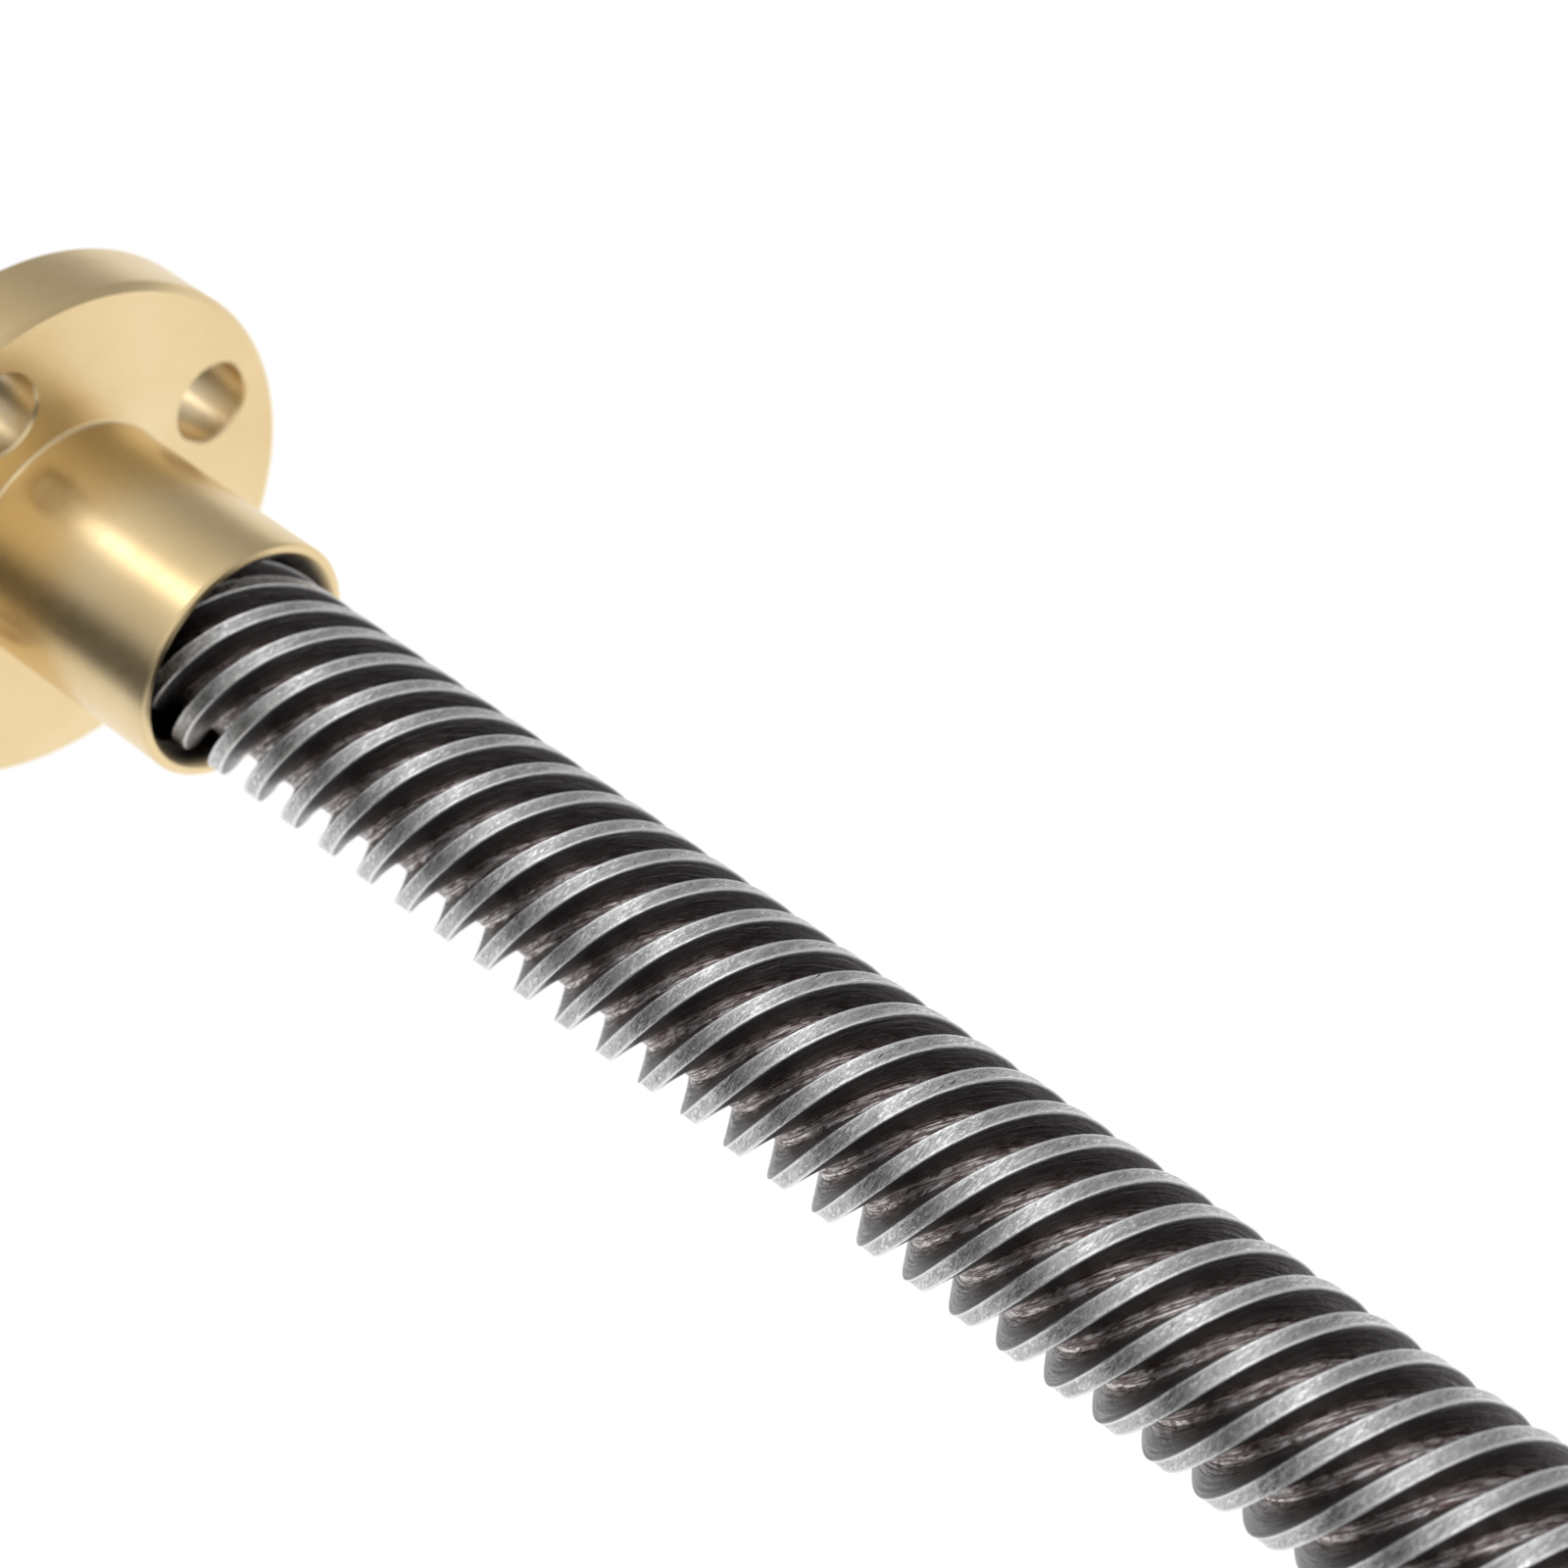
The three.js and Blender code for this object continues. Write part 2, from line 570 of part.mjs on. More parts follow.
// Square bar along Z at pin i.
function pinBar(i, half, heights) {
  const y = (i - (PINS - 1) / 2) * PIN_PITCH;
  return box([PIN_X - half, PIN_X + half], [y - half, y + half], heights);
}

// Housing open at the top, with two notches and a square hole for each pin.
function connectorHousing() {
  const above = CONN_Z1 + OVERCUT;
  const innerY = CONN_Y - CONN_WALL_Y;
  const cavity = box(
    [CONN_X0 + CONN_WALL_X, CONN_X1 - CONN_WALL_X], [-innerY, innerY],
    [CONN_Z0 + CONN_FLOOR, above]);
  const notches = [[-5.2, -3.4], [3.4, 5.2]].map(spanY => (
    box([CONN_X1 - 1, CONN_X1 + OVERCUT], spanY, [CONN_Z0 + NOTCH_FLOOR, above])));
  const pinHoles = Array.from({ length: PINS }, (_, i) => (
    pinBar(i, PIN_SLOT_HALF, [CONN_Z0 - OVERCUT, CONN_Z0 + 2])));
  const block = box([CONN_X0, CONN_X1], [-CONN_Y, CONN_Y], [CONN_Z0, CONN_Z1]);
  return cut(block, cavity, ...notches, ...pinHoles);
}

for (let i = 0; i < PINS; i++) {
  piece(`connector_pin_${i + 1}`, pinBar(i, PIN_HALF, [16.0, CONN_Z1 - 1.6]), PIN_METAL);
}
piece('connector_housing', connectorHousing(), HOUSING_PLASTIC);
piece('terminal_board', prism(circle(18.0, 24), -37.2, -36.4, [circle(11.2, 24)]), BOARD_GREEN);

// ---------------------------------------------------------------- flanged nut
const BARREL_R = 5.1;
const BARREL_L = 10;
const FLANGE_R = 11;
const FLANGE_T = 3.5;
const HUB_L = 1.5;
const NUT_CHAMFER = 0.3;
const NUT_HOLES = { count: 4, radius: 1.75, pitchRadius: 8, turnDeg: 12 };
const NUT_PLAY = 0.24;        // radial room between the screw's thread and the nut's
const NUT_STEPS = 17;
const MOUTH_L = 1.1;          // from each end to the full thread
// Round stations of a mouth: [distance inward from the end, radius]
const MOUTH = [[-0.4, 4.95], [0.35, 4.42]];

function leadNut() {
  const flangeEnd = NUT_END - BARREL_L;
  const flangeStart = flangeEnd - FLANGE_T;
  const start = flangeStart - HUB_L;
  const chamfer = NUT_CHAMFER;
  const body = turned([
    [start, 0], [start, BARREL_R - chamfer], [start + chamfer, BARREL_R],
    [flangeStart, BARREL_R], [flangeStart, FLANGE_R - chamfer],
    [flangeStart + chamfer, FLANGE_R], [flangeEnd - chamfer, FLANGE_R],
    [flangeEnd, FLANGE_R - chamfer], [flangeEnd, BARREL_R],
    [NUT_END - chamfer, BARREL_R], [NUT_END, BARREL_R - chamfer], [NUT_END, 0],
  ], 40);
  const { count, radius, pitchRadius, turnDeg } = NUT_HOLES;
  const holes = Array.from({ length: count }, (_, k) => {
    const centre = polar(pitchRadius, turnDeg + 360 / count * k);
    return rod(flangeStart - OVERCUT, flangeEnd + OVERCUT, radius, 16, centre.x, centre.y);
  });
  const round = (x, plainRadius) => threadSection(x, { plainRadius });
  const thread = loft([
    ...MOUTH.map(([inward, mouthR]) => round(start + inward, mouthR)),
    ...threadRun(start + MOUTH_L, NUT_END - MOUTH_L, NUT_STEPS, NUT_PLAY),
    ...MOUTH.toReversed().map(([inward, mouthR]) => round(NUT_END - inward, mouthR)),
  ]);
  return cut(body, ...holes, thread);
}

piece('lead_nut', leadNut(), BRASS);

assembly.position.set(-STACK_MID, 0, HALF);

const group = new THREE.Group();
group.add(assembly);

export default group;
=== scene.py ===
"""A square stepper motor with a six-start lead screw and a flanged brass nut.

The screw's axis lies along X. The motor reaches back along -X from its mounting face, and the
screw and nut stand out along +X. "Front" is the +X end of the motor, "rear" the -X end. The
connector is on the +Z side. Pieces are laid out in millimetres from the point where the axis
meets the mounting face.
"""
import math
import random

import bmesh
import bpy
import numpy as np
from mathutils import Matrix, Vector, geometry


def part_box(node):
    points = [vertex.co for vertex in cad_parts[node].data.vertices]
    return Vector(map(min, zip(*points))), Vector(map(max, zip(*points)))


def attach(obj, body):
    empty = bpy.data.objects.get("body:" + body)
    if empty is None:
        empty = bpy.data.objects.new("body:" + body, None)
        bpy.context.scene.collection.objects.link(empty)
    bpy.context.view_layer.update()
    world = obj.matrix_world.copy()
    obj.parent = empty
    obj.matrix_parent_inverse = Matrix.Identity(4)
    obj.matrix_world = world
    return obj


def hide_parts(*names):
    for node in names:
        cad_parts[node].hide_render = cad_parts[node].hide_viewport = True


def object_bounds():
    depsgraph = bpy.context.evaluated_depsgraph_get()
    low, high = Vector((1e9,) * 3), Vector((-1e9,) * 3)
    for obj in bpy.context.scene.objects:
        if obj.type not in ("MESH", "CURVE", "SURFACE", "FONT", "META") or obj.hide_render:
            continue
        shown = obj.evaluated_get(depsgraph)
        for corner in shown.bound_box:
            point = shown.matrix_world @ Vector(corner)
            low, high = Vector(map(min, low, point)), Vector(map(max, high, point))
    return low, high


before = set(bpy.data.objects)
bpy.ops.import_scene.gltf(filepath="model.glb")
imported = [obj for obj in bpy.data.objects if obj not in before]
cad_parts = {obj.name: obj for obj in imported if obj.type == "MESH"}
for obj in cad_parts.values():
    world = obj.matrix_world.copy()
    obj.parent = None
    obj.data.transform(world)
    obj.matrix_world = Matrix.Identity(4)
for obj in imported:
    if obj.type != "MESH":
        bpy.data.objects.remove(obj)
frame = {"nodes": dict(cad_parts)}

CAD_LO, CAD_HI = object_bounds()
random.seed(7)

# ------------------------------------------------------------------ driving dimensions
MM = 0.001                # metres
MM_PER_METRE = 1000.0
DEG = math.pi / 180

nut_lo, nut_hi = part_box("lead_nut")
stator_lo, stator_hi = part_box("stator_core")
FRONT_COVER_LENGTH = 8.0
FACE_X = stator_hi.x + FRONT_COVER_LENGTH * MM    # mounting face, metres
AXIS_Z = (nut_lo.z + nut_hi.z) / 2                # screw axis, metres
ORIGIN = np.array([FACE_X, 0.0, AXIS_Z])


def layout_box(name):
    """Low and high corners of a CAD piece in layout millimetres."""
    return [(np.array(corner) - ORIGIN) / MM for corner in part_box(name)]


NUT_START, NUT_END = (corner[0] for corner in layout_box("lead_nut"))
TIP = layout_box("lead_screw")[1][0]
X_REAR = layout_box("rear_cover")[0][0]
X_STACK_REAR, X_STACK_FRONT = (corner[0] for corner in layout_box("stator_core"))
HALF_WIDTH = (stator_hi.y - stator_lo.y) / 2 / MM

# case bolts
BOLT_OFFSET = 15.5
BOLTS = [(BOLT_OFFSET * y, BOLT_OFFSET * z) for y, z in ((1, 1), (-1, 1), (-1, -1), (1, -1))]
BOLT_PITCH = 0.5
BOLT_CLEARANCE_R = 1.7
BOLT_SEAT = X_REAR + 2.2

# bearings and the hollow round them in both covers
BEARING_R = 8.0
POCKET_R = BEARING_R + 0.05
BOSS_R = 10.2
BOSS_TRIM_R = BOSS_R + 0.5
CAVITY_APOTHEM = 18.6
OCTAGON_CORNER = 1 / math.cos(22.5 * DEG)         # corner radius over apothem

# lead screw thread
R_CREST, R_ROOT = 4.0, 2.78
STARTS, LEAD = 6, 12.0
DEG_PER_MM = 360 / LEAD
PHASE_X, PHASE_DEG = 3.907, 204.92                # a crest's angle, this far past the nut's end


# ------------------------------------------------------------------ mesh objects
def new_object(name, verts, faces):
    mesh = bpy.data.meshes.new(name)
    mesh.from_pydata((np.asarray(verts, float) * MM + ORIGIN).tolist(), [], faces)
    ob = bpy.data.objects.new(name, mesh)
    bpy.context.scene.collection.objects.link(ob)
    return ob


def tidy(ob, weld=None):
    """Turns the faces outward, after welding points closer than weld metres."""
    bm = bmesh.new()
    bm.from_mesh(ob.data)
    if weld:
        bmesh.ops.remove_doubles(bm, verts=bm.verts, dist=weld)
    bmesh.ops.recalc_face_normals(bm, faces=bm.faces)
    bm.to_mesh(ob.data)
    bm.free()


def shade(ob, sharp=30.0):
    """Smooth shading, with edges over sharp degrees kept hard."""
    mesh = ob.data
    mesh.polygons.foreach_set("use_smooth", [True] * len(mesh.polygons))
    mesh.set_sharp_from_angle(angle=sharp * DEG)
    mesh.update()


def register(ob, cad, body):
    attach(ob, body)
    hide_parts(cad)
    return ob


def make(cad, verts, faces, body, slot, sharp=30.0):
    """A finished piece that stands in for the CAD piece of that name."""
    ob = new_object(f"{cad}_fine", verts, faces)
    ob.data.validate()
    tidy(ob)
    shade(ob, sharp)
    return register(ob, cad, body)


def blank(name, verts, faces):
    """A welded solid, ready for booleans."""
    ob = new_object(name, verts, faces)
    tidy(ob, weld=1e-8)
    return ob


def cutter(verts, faces):
    return blank("cutter", verts, faces)


def remove_mesh(mesh):
    bpy.data.meshes.remove(mesh)


def apply_modifiers(ob):
    depsgraph = bpy.context.evaluated_depsgraph_get()
    depsgraph.update()
    mesh = bpy.data.meshes.new_from_object(ob.evaluated_get(depsgraph))
    old = ob.data
    ob.modifiers.clear()
    ob.data = mesh
    remove_mesh(old)


def boolean(ob, tools, operation="DIFFERENCE"):
    """Applies each tool to the object and deletes the tools."""
    for tool in tools:
        modifier = ob.modifiers.new("cut", "BOOLEAN")
        modifier.operation = operation
        modifier.solver = "MANIFOLD"
        modifier.object = tool
    apply_modifiers(ob)
    for tool in tools:
        mesh = tool.data
        bpy.data.objects.remove(tool)
        remove_mesh(mesh)


def add_attribute(ob, name, kind, field, values):
    attribute = ob.data.attributes.new(name, kind, "POINT")
    attribute.data.foreach_set(field, values.astype(np.float32).ravel())


# ------------------------------------------------------------------ shapes, as (verts, faces)
def skin(starts, count):
    """Quads between successive rings of count points; starts holds each ring's first index."""
    quads = []
    for near, far in zip(starts, starts[1:]):
        for j in range(count):
            k = (j + 1) % count
            quads.append([near + j, near + k, far + k, far + j])
    return quads


def lathe(profile, segments=96, closed=False, y=0.0, z=0.0):
    """Turns (x, radius) points about a line parallel to X. A closed profile makes a ring."""
    verts, faces, rings = [], [], []
    for x, r in profile:
        first = len(verts)
        if r < 1e-9:
            rings.append([first] * segments)
            verts.append((x, y, z))
            continue
        rings.append(list(range(first, first + segments)))
        for j in range(segments):
            angle = 2 * math.pi * j / segments
            verts.append((x, y + r * math.cos(angle), z + r * math.sin(angle)))
    following = rings[1:] + rings[:1] if closed else rings[1:]
    for near, far in zip(rings, following):
        for j in range(segments):
            k = (j + 1) % segments
            face = list(dict.fromkeys([near[j], near[k], far[k], far[j]]))
            if len(face) > 2:
                faces.append(face)
    return verts, faces


def plug(x0, x1, radius, segments=96):
    """A cylinder on the screw axis, for cutting."""
    return cutter(*lathe([(x0, 0), (x0, radius), (x1, radius), (x1, 0)], segments))


def round_profile(points, radii, segments, closed=True):
    """Rounds the corners of a 2D outline. radii is one number or one per corner."""
    count = len(points)
    if not hasattr(radii, "__len__"):
        radii = [radii] * count
    out = []
    for i in range(count):
        corner = np.array(points[i], float)
        if not closed and i in (0, count - 1) or radii[i] <= 0:
            out.append(tuple(corner))
            continue
        back = np.array(points[i - 1], float) - corner
        ahead = np.array(points[(i + 1) % count], float) - corner
        back_length, ahead_length = np.linalg.norm(back), np.linalg.norm(ahead)
        back, ahead = back / back_length, ahead / ahead_length
        angle = math.acos(float(np.clip(back @ ahead, -1, 1)))
        if abs(angle - math.pi) < 1e-3 or angle < 1e-3:
            out.append(tuple(corner))
            continue
        # the arc takes less than half of either side
        tangent = min(radii[i] / math.tan(angle / 2), 0.49 * back_length, 0.49 * ahead_length)
        radius = tangent * math.tan(angle / 2)
        bisector = (back + ahead) / np.linalg.norm(back + ahead)
        centre = corner + bisector * (radius / math.sin(angle / 2))
        start = corner + back * tangent - centre
        end = corner + ahead * tangent - centre
        way = 1 if start[0] * end[1] - start[1] * end[0] > 0 else -1
        for k in range(segments + 1):
            turn = (math.pi - angle) * k / segments * way
            cos, sin = math.cos(turn), math.sin(turn)
            spoke = np.array([start[0] * cos - start[1] * sin, start[0] * sin + start[1] * cos])
            out.append(tuple(centre + spoke))
    return out


def prism(outline, stations):
    """Extrudes a YZ outline along X through (x, inset) stations; inset shrinks the outline."""
    points = np.array(outline, float)
    count = len(points)
    following = np.roll(points, -1, 0)

    def unit(vectors):
        return vectors / (np.linalg.norm(vectors, axis=1)[:, None] + 1e-12)

    def edge_normal(edge):
        return unit(np.stack([edge[:, 1], -edge[:, 0]], 1))

    before = edge_normal(points - np.roll(points, 1, 0))
    after = edge_normal(following - points)
    normal = unit(before + after)
    mitre = 1 / np.clip((normal * before).sum(1), 0.3, 1)
    area = 0.5 * np.sum(points[:, 0] * following[:, 1] - following[:, 0] * points[:, 1])
    if area < 0:
        normal = -normal
    verts = []
    for x, inset in stations:
        verts += [(x, y, z) for y, z in points - normal * (inset * mitre)[:, None]]
    last = (len(stations) - 1) * count
    faces = skin(range(0, len(verts), count), count)
    faces.append(list(range(count)))
    faces.append([last + j for j in range(count)][::-1])
    return verts, faces


def box(x0, x1, y0, y1, z0, z1):
    verts = [(x, y, z) for x in (x0, x1) for y in (y0, y1) for z in (z0, z1)]
    faces = [[0, 1, 3, 2], [4, 6, 7, 5], [0, 4, 5, 1], [2, 3, 7, 6], [0, 2, 6, 4], [1, 5, 7, 3]]
    return verts, faces


def motor_outline(chamfer, corner_radius):
    """The motor's square section with chamfered corners."""
    h, c = HALF_WIDTH, HALF_WIDTH - chamfer
    points = [(h, -c), (h, c), (c, h), (-c, h), (-h, c), (-h, -c), (-c, -h), (c, -h)]
    return round_profile(points, corner_radius, 3)


def polar(radius, degrees):
    return radius * math.cos(degrees * DEG), radius * math.sin(degrees * DEG)


# ------------------------------------------------------------------ the lead screw
def crest_deg(x):
    """Angle of one thread crest at x."""
    return PHASE_DEG - (x - NUT_END - PHASE_X) * 360 / LEAD


# half of one thread, from its crest to the groove on its +X side:
# (mm from the crest's centre along the axis, radius, crest, lip, root), the last three 0 to 1
# the lip weight marks where the crest's edge is coloured pale as a painted highlight
HALF_PROFILE = [
    (0.000, 3.972, 1, 0, 0), (0.080, 3.971, 1, 0, 0), (0.160, 3.974, 1, 0, 0),
    (0.225, 3.982, 1, .2, 0), (0.270, 3.994, 1, .8, 0), (0.305, R_CREST, 1, 1, 0),
    (0.335, 3.996, .9, 1, 0), (0.358, 3.978, .5, .8, 0), (0.374, 3.940, .1, .3, 0),
    (0.390, 3.880, 0, 0, 0), (0.430, 3.730, 0, 0, 0), (0.490, 3.506, 0, 0, 0),
    (0.550, 3.282, 0, 0, .1), (0.610, 3.058, 0, 0, .4), (0.640, 2.946, 0, 0, .7),
    (0.668, 2.872, 0, 0, .9), (0.705, 2.818, 0, 0, 1), (0.760, 2.790, 0, 0, 1),
    (0.840, 2.781, 0, 0, 1), (0.920, R_ROOT, 0, 0, 1), (1.0, R_ROOT, 0, 0, 1)]
BRIGHT_LIMIT = 0.32       # beyond this the motor-side edge is given the dark flank colour, a painted dark line of shade
FULL_PROFILE = [
    (-u, r, crest if u < BRIGHT_LIMIT else 0, lip if u < BRIGHT_LIMIT else 0, root)
    for u, r, crest, lip, root in HALF_PROFILE[-2:0:-1]] + HALF_PROFILE

THREAD_START, THREAD_FULL = 2.4, 4.4              # the groove deepens between these
JOURNAL_R = 2.5
# smooth part inside the motor, from the rear end forward: (x, radius)
PLAIN_SHAFT = [
    (X_REAR + 1.6, 0), (X_REAR + 1.6, 0.6), (X_REAR + 1.62, 2.1), (X_REAR + 1.7, 2.3),
    (X_REAR + 2.0, JOURNAL_R), (X_REAR + 7.4, JOURNAL_R), (X_REAR + 12, JOURNAL_R),
    (-22, JOURNAL_R), (-14, JOURNAL_R), (-8, JOURNAL_R), (-3, JOURNAL_R), (-1.15, JOURNAL_R),
    (-1.15, 3.72), (-1.1, 3.82), (-0.95, 3.97), (-0.85, R_CREST), (1.2, R_CREST),
    (THREAD_START, R_CREST)]
# flat tip with a shallow centre: (x, radius)
TIP_END = [(TIP, 2.2), (TIP, 1.0), (TIP - 0.15, 0.85), (TIP - 0.9, 0.0)]
TIP_CHAMFER, TIP_SLOPE = 1.2, 1.05


def build_screw():
    profile = np.array(FULL_PROFILE)
    along, radii = profile[:, 0], profile[:, 1]
    surface = np.hypot(np.diff(along), np.diff(radii))
    arc = np.r_[0, np.cumsum(surface)]
    arc -= arc[len(arc) // 2]
    theta = np.concatenate([along * DEG_PER_MM + k * 360 / STARTS for k in range(STARTS)])
    radius = np.tile(radii, STARTS)
    # zone colour: crest, lip, root, and 1 in alpha on the motor side of a thread
    thread_zone = np.tile(np.column_stack([profile[:, 2:], along < 0]), (STARTS, 1))
    across = np.concatenate([arc + 11.3 * k for k in range(STARTS)])
    count = len(theta)
    points, zones, helix = [], [], []

    def add_ring(x, r, angle, zone, texture):
        columns = np.broadcast_arrays(x, r * np.cos(angle), r * np.sin(angle))
        points.append(np.stack(columns, 1))
        zones.append(np.broadcast_to(zone, (count, 4)))
        helix.append(np.stack(np.broadcast_arrays(*texture), 1))

    angle = (theta + crest_deg(THREAD_START)) * DEG
    for x, r in PLAIN_SHAFT:
        add_ring(x, r, angle, (0.6, 0, 0, 0), (x * 2.3, across, 3.0))

    stations = [*np.arange(THREAD_START + 0.16, TIP - 1.3, 0.165),
                *np.linspace(TIP - 1.28, TIP - 0.05, 14), TIP - 0.02, TIP]
    for x in stations:
        depth = min(1.0, (x - THREAD_START) / (THREAD_FULL - THREAD_START))
        depth = depth * depth * (3 - 2 * depth)
        r = R_CREST - (R_CREST - radius) * depth
        cone = R_CREST - max(0.0, x - (TIP - TIP_CHAMFER)) * TIP_SLOPE
        if x > TIP - 0.03:                        # small round at the very end
            cone -= 0.05 if x >= TIP else 0.01
        zone = thread_zone * depth + np.array([0.8, 0, 0, 0]) * (1 - depth)
        # the chamfer takes the crest colour and 0.6 of the lip's painted-highlight colour
        zone = np.where((r > cone)[:, None], np.array([0.9, 0.6, 0.0, 0.0]), zone)
        angle = (theta + crest_deg(x)) * DEG
        add_ring(x, np.minimum(r, cone), angle, zone, (x * 2.32, across, 0.0))

    angle = (theta + crest_deg(TIP)) * DEG
    for x, r in TIP_END:
        texture = (r * np.cos(angle) * 3, r * np.sin(angle) * 3, 9.0)
        # the end face takes 0.3 of the lip's painted-highlight colour
        add_ring(x, r, angle, (0.9, 0.3, 0, 0), texture)

    verts = np.concatenate(points)
    ob = new_object("lead_screw_fine", verts, skin(range(0, len(verts), count), count))
    # texture coordinates: along the axis, across the threads, and a region number
    add_attribute(ob, "helix", "FLOAT_VECTOR", "vector", np.concatenate(helix))
    add_attribute(ob, "zone", "FLOAT_COLOR", "color", np.concatenate(zones))
    tidy(ob, weld=2e-7)
    shade(ob, 40)
    return register(ob, "lead_screw", "rotor")


screw = build_screw()


# ------------------------------------------------------------------ the flanged nut
NUT_BARREL_R = 5.1
NUT_MOUTH_R = 4.72
NUT_PLAY = 0.12           # clearance to the screw's thread
NUT_SEGMENTS = 240
FLANGE_R = 11.0
FLANGE_REAR = NUT_START + 1.5
FLANGE_FRONT = FLANGE_REAR + 3.5
FLANGE_HOLE_R = 1.75
FLANGE_HOLES = [polar(8, 12 + 90 * k) for k in range(4)]

# outside of the nut from its rear mouth to its front mouth: (x, radius, corner rounding)
NUT_OUTSIDE = [
    (NUT_START, NUT_MOUTH_R, 0.03), (NUT_START, NUT_BARREL_R - 0.22, 0.05),
    (NUT_START + 0.22, NUT_BARREL_R, 0.05), (FLANGE_REAR, NUT_BARREL_R, 0.12),
    (FLANGE_REAR, FLANGE_R - 0.3, 0.06), (FLANGE_REAR + 0.3, FLANGE_R, 0.06),
    (FLANGE_FRONT - 0.3, FLANGE_R, 0.06), (FLANGE_FRONT, FLANGE_R - 0.3, 0.06),
    (FLANGE_FRONT, NUT_BARREL_R, 0.18), (NUT_END - 0.12, NUT_BARREL_R, 0.04),
    (NUT_END, NUT_BARREL_R - 0.12, 0.04), (NUT_END, NUT_MOUTH_R, 0.03)]


def nut_outside():
    """The rounded outside, with extra stations on long stretches so shading stays even."""
    corners = [(x, r) for x, r, _ in NUT_OUTSIDE]
    profile = round_profile(corners, [rounding for _, _, rounding in NUT_OUTSIDE], 4, closed=False)
    fine = [profile[0]]
    for x, r in profile[1:]:
        x0, r0 = fine[-1]
        cuts = int(math.hypot(x - x0, r - r0) // 1.2)
        for c in range(1, cuts + 1):
            t = c / (cuts + 1)
            fine.append((x0 + (x - x0) * t, r0 + (r - r0) * t))
        fine.append((x, r))
    return fine


def nut_inside():
    """Rings of the threaded bore, from the front end back: (x, radii, degrees)."""
    half_u = [row[0] for row in HALF_PROFILE]
    half_r = [row[1] for row in HALF_PROFILE]
    stations = [NUT_END - 0.15, NUT_END - 0.32,
                *np.arange(NUT_END - 0.45, NUT_START + 0.45, -0.14),
                NUT_START + 0.32, NUT_START + 0.15]
    degrees = np.arange(NUT_SEGMENTS) * 360 / NUT_SEGMENTS
    for x in stations:
        countersink = NUT_MOUTH_R - min(NUT_END - x, x - NUT_START) * 1.05
        u = (degrees - crest_deg(x)) % 60.0
        u = np.where(u > 30, u - 60, u) / DEG_PER_MM      # mm from the screw's nearest crest
        u = np.clip(np.abs(u) - NUT_PLAY * 0.7, 0, 1)
        radii = np.interp(u, half_u, half_r) + NUT_PLAY
        yield x, np.maximum(radii, countersink), degrees


def build_nut():
    verts = []
    for x, r in nut_outside():
        for j in range(NUT_SEGMENTS):
            angle = 2 * math.pi * j / NUT_SEGMENTS
            verts.append((x, r * math.cos(angle), r * math.sin(angle)))
    for x, radii, degrees in nut_inside():
        verts += [(x, *polar(float(r), float(t))) for r, t in zip(radii, degrees)]
    starts = [*range(0, len(verts), NUT_SEGMENTS), 0]
    ob = blank("lead_nut_fine", verts, skin(starts, NUT_SEGMENTS))

    drill = [(FLANGE_REAR - 1, 0), (FLANGE_REAR - 1, 2.85), (FLANGE_REAR + 0.1, FLANGE_HOLE_R),
             (FLANGE_FRONT - 0.1, FLANGE_HOLE_R), (FLANGE_FRONT + 1, 2.85), (FLANGE_FRONT + 1, 0)]
    boolean(ob, [cutter(*lathe(drill, 64, y=y, z=z)) for y, z in FLANGE_HOLES])
    shade(ob, 32)

    # masks for the material: the threaded bore, coloured near-black as painted shade, and the
    # walls of the flange holes
    points = np.empty(len(ob.data.vertices) * 3, np.float32)
    ob.data.vertices.foreach_get("co", points)
    x, y, z = (points.reshape(-1, 3) / MM - ORIGIN / MM).T
    bore = np.clip((4.66 - np.hypot(y, z)) / 0.14, 0, 1)
    add_attribute(ob, "bore", "FLOAT", "value", bore)
    to_hole = np.min([np.hypot(y - hy, z - hz) for hy, hz in FLANGE_HOLES], axis=0)
    in_flange = (x > FLANGE_REAR - 0.2) & (x < FLANGE_FRONT + 0.2)
    drilled = (to_hole < FLANGE_HOLE_R + 0.04) & in_flange
    add_attribute(ob, "drilled", "FLOAT", "value", drilled)
    return register(ob, "lead_nut", "nut")


nut = build_nut()


# ------------------------------------------------------------------ covers
def cover_cavity(x0, x1, boss_x0, boss_x1):
    """Cutter for the octagonal hollow that leaves the bearing boss standing."""
    corners = [polar(CAVITY_APOTHEM * OCTAGON_CORNER, 22.5 + 45 * k) for k in range(8)]
    cavity = cutter(*prism(round_profile(corners, 2.0, 6), [(x0, 0), (x1, 0)]))
    boolean(cavity, [plug(boss_x0, boss_x1, BOSS_R)])
    return cavity


def tapped_hole():
    """(x, radius) outline of a hole with a countersunk mouth and thread turns as rings."""
    major, minor = 1.62, 1.34
    profile = [(1, 0), (1, 2.62), (-0.22, major)]
    for x in np.arange(-0.25, -7.2, -BOLT_PITCH):
        profile += [(x - BOLT_PITCH / 4, major), (x - BOLT_PITCH / 2, minor),
                    (x - BOLT_PITCH * 3 / 4, minor), (x - BOLT_PITCH, major)]
    return profile + [(-9, major), (-9, 0)]


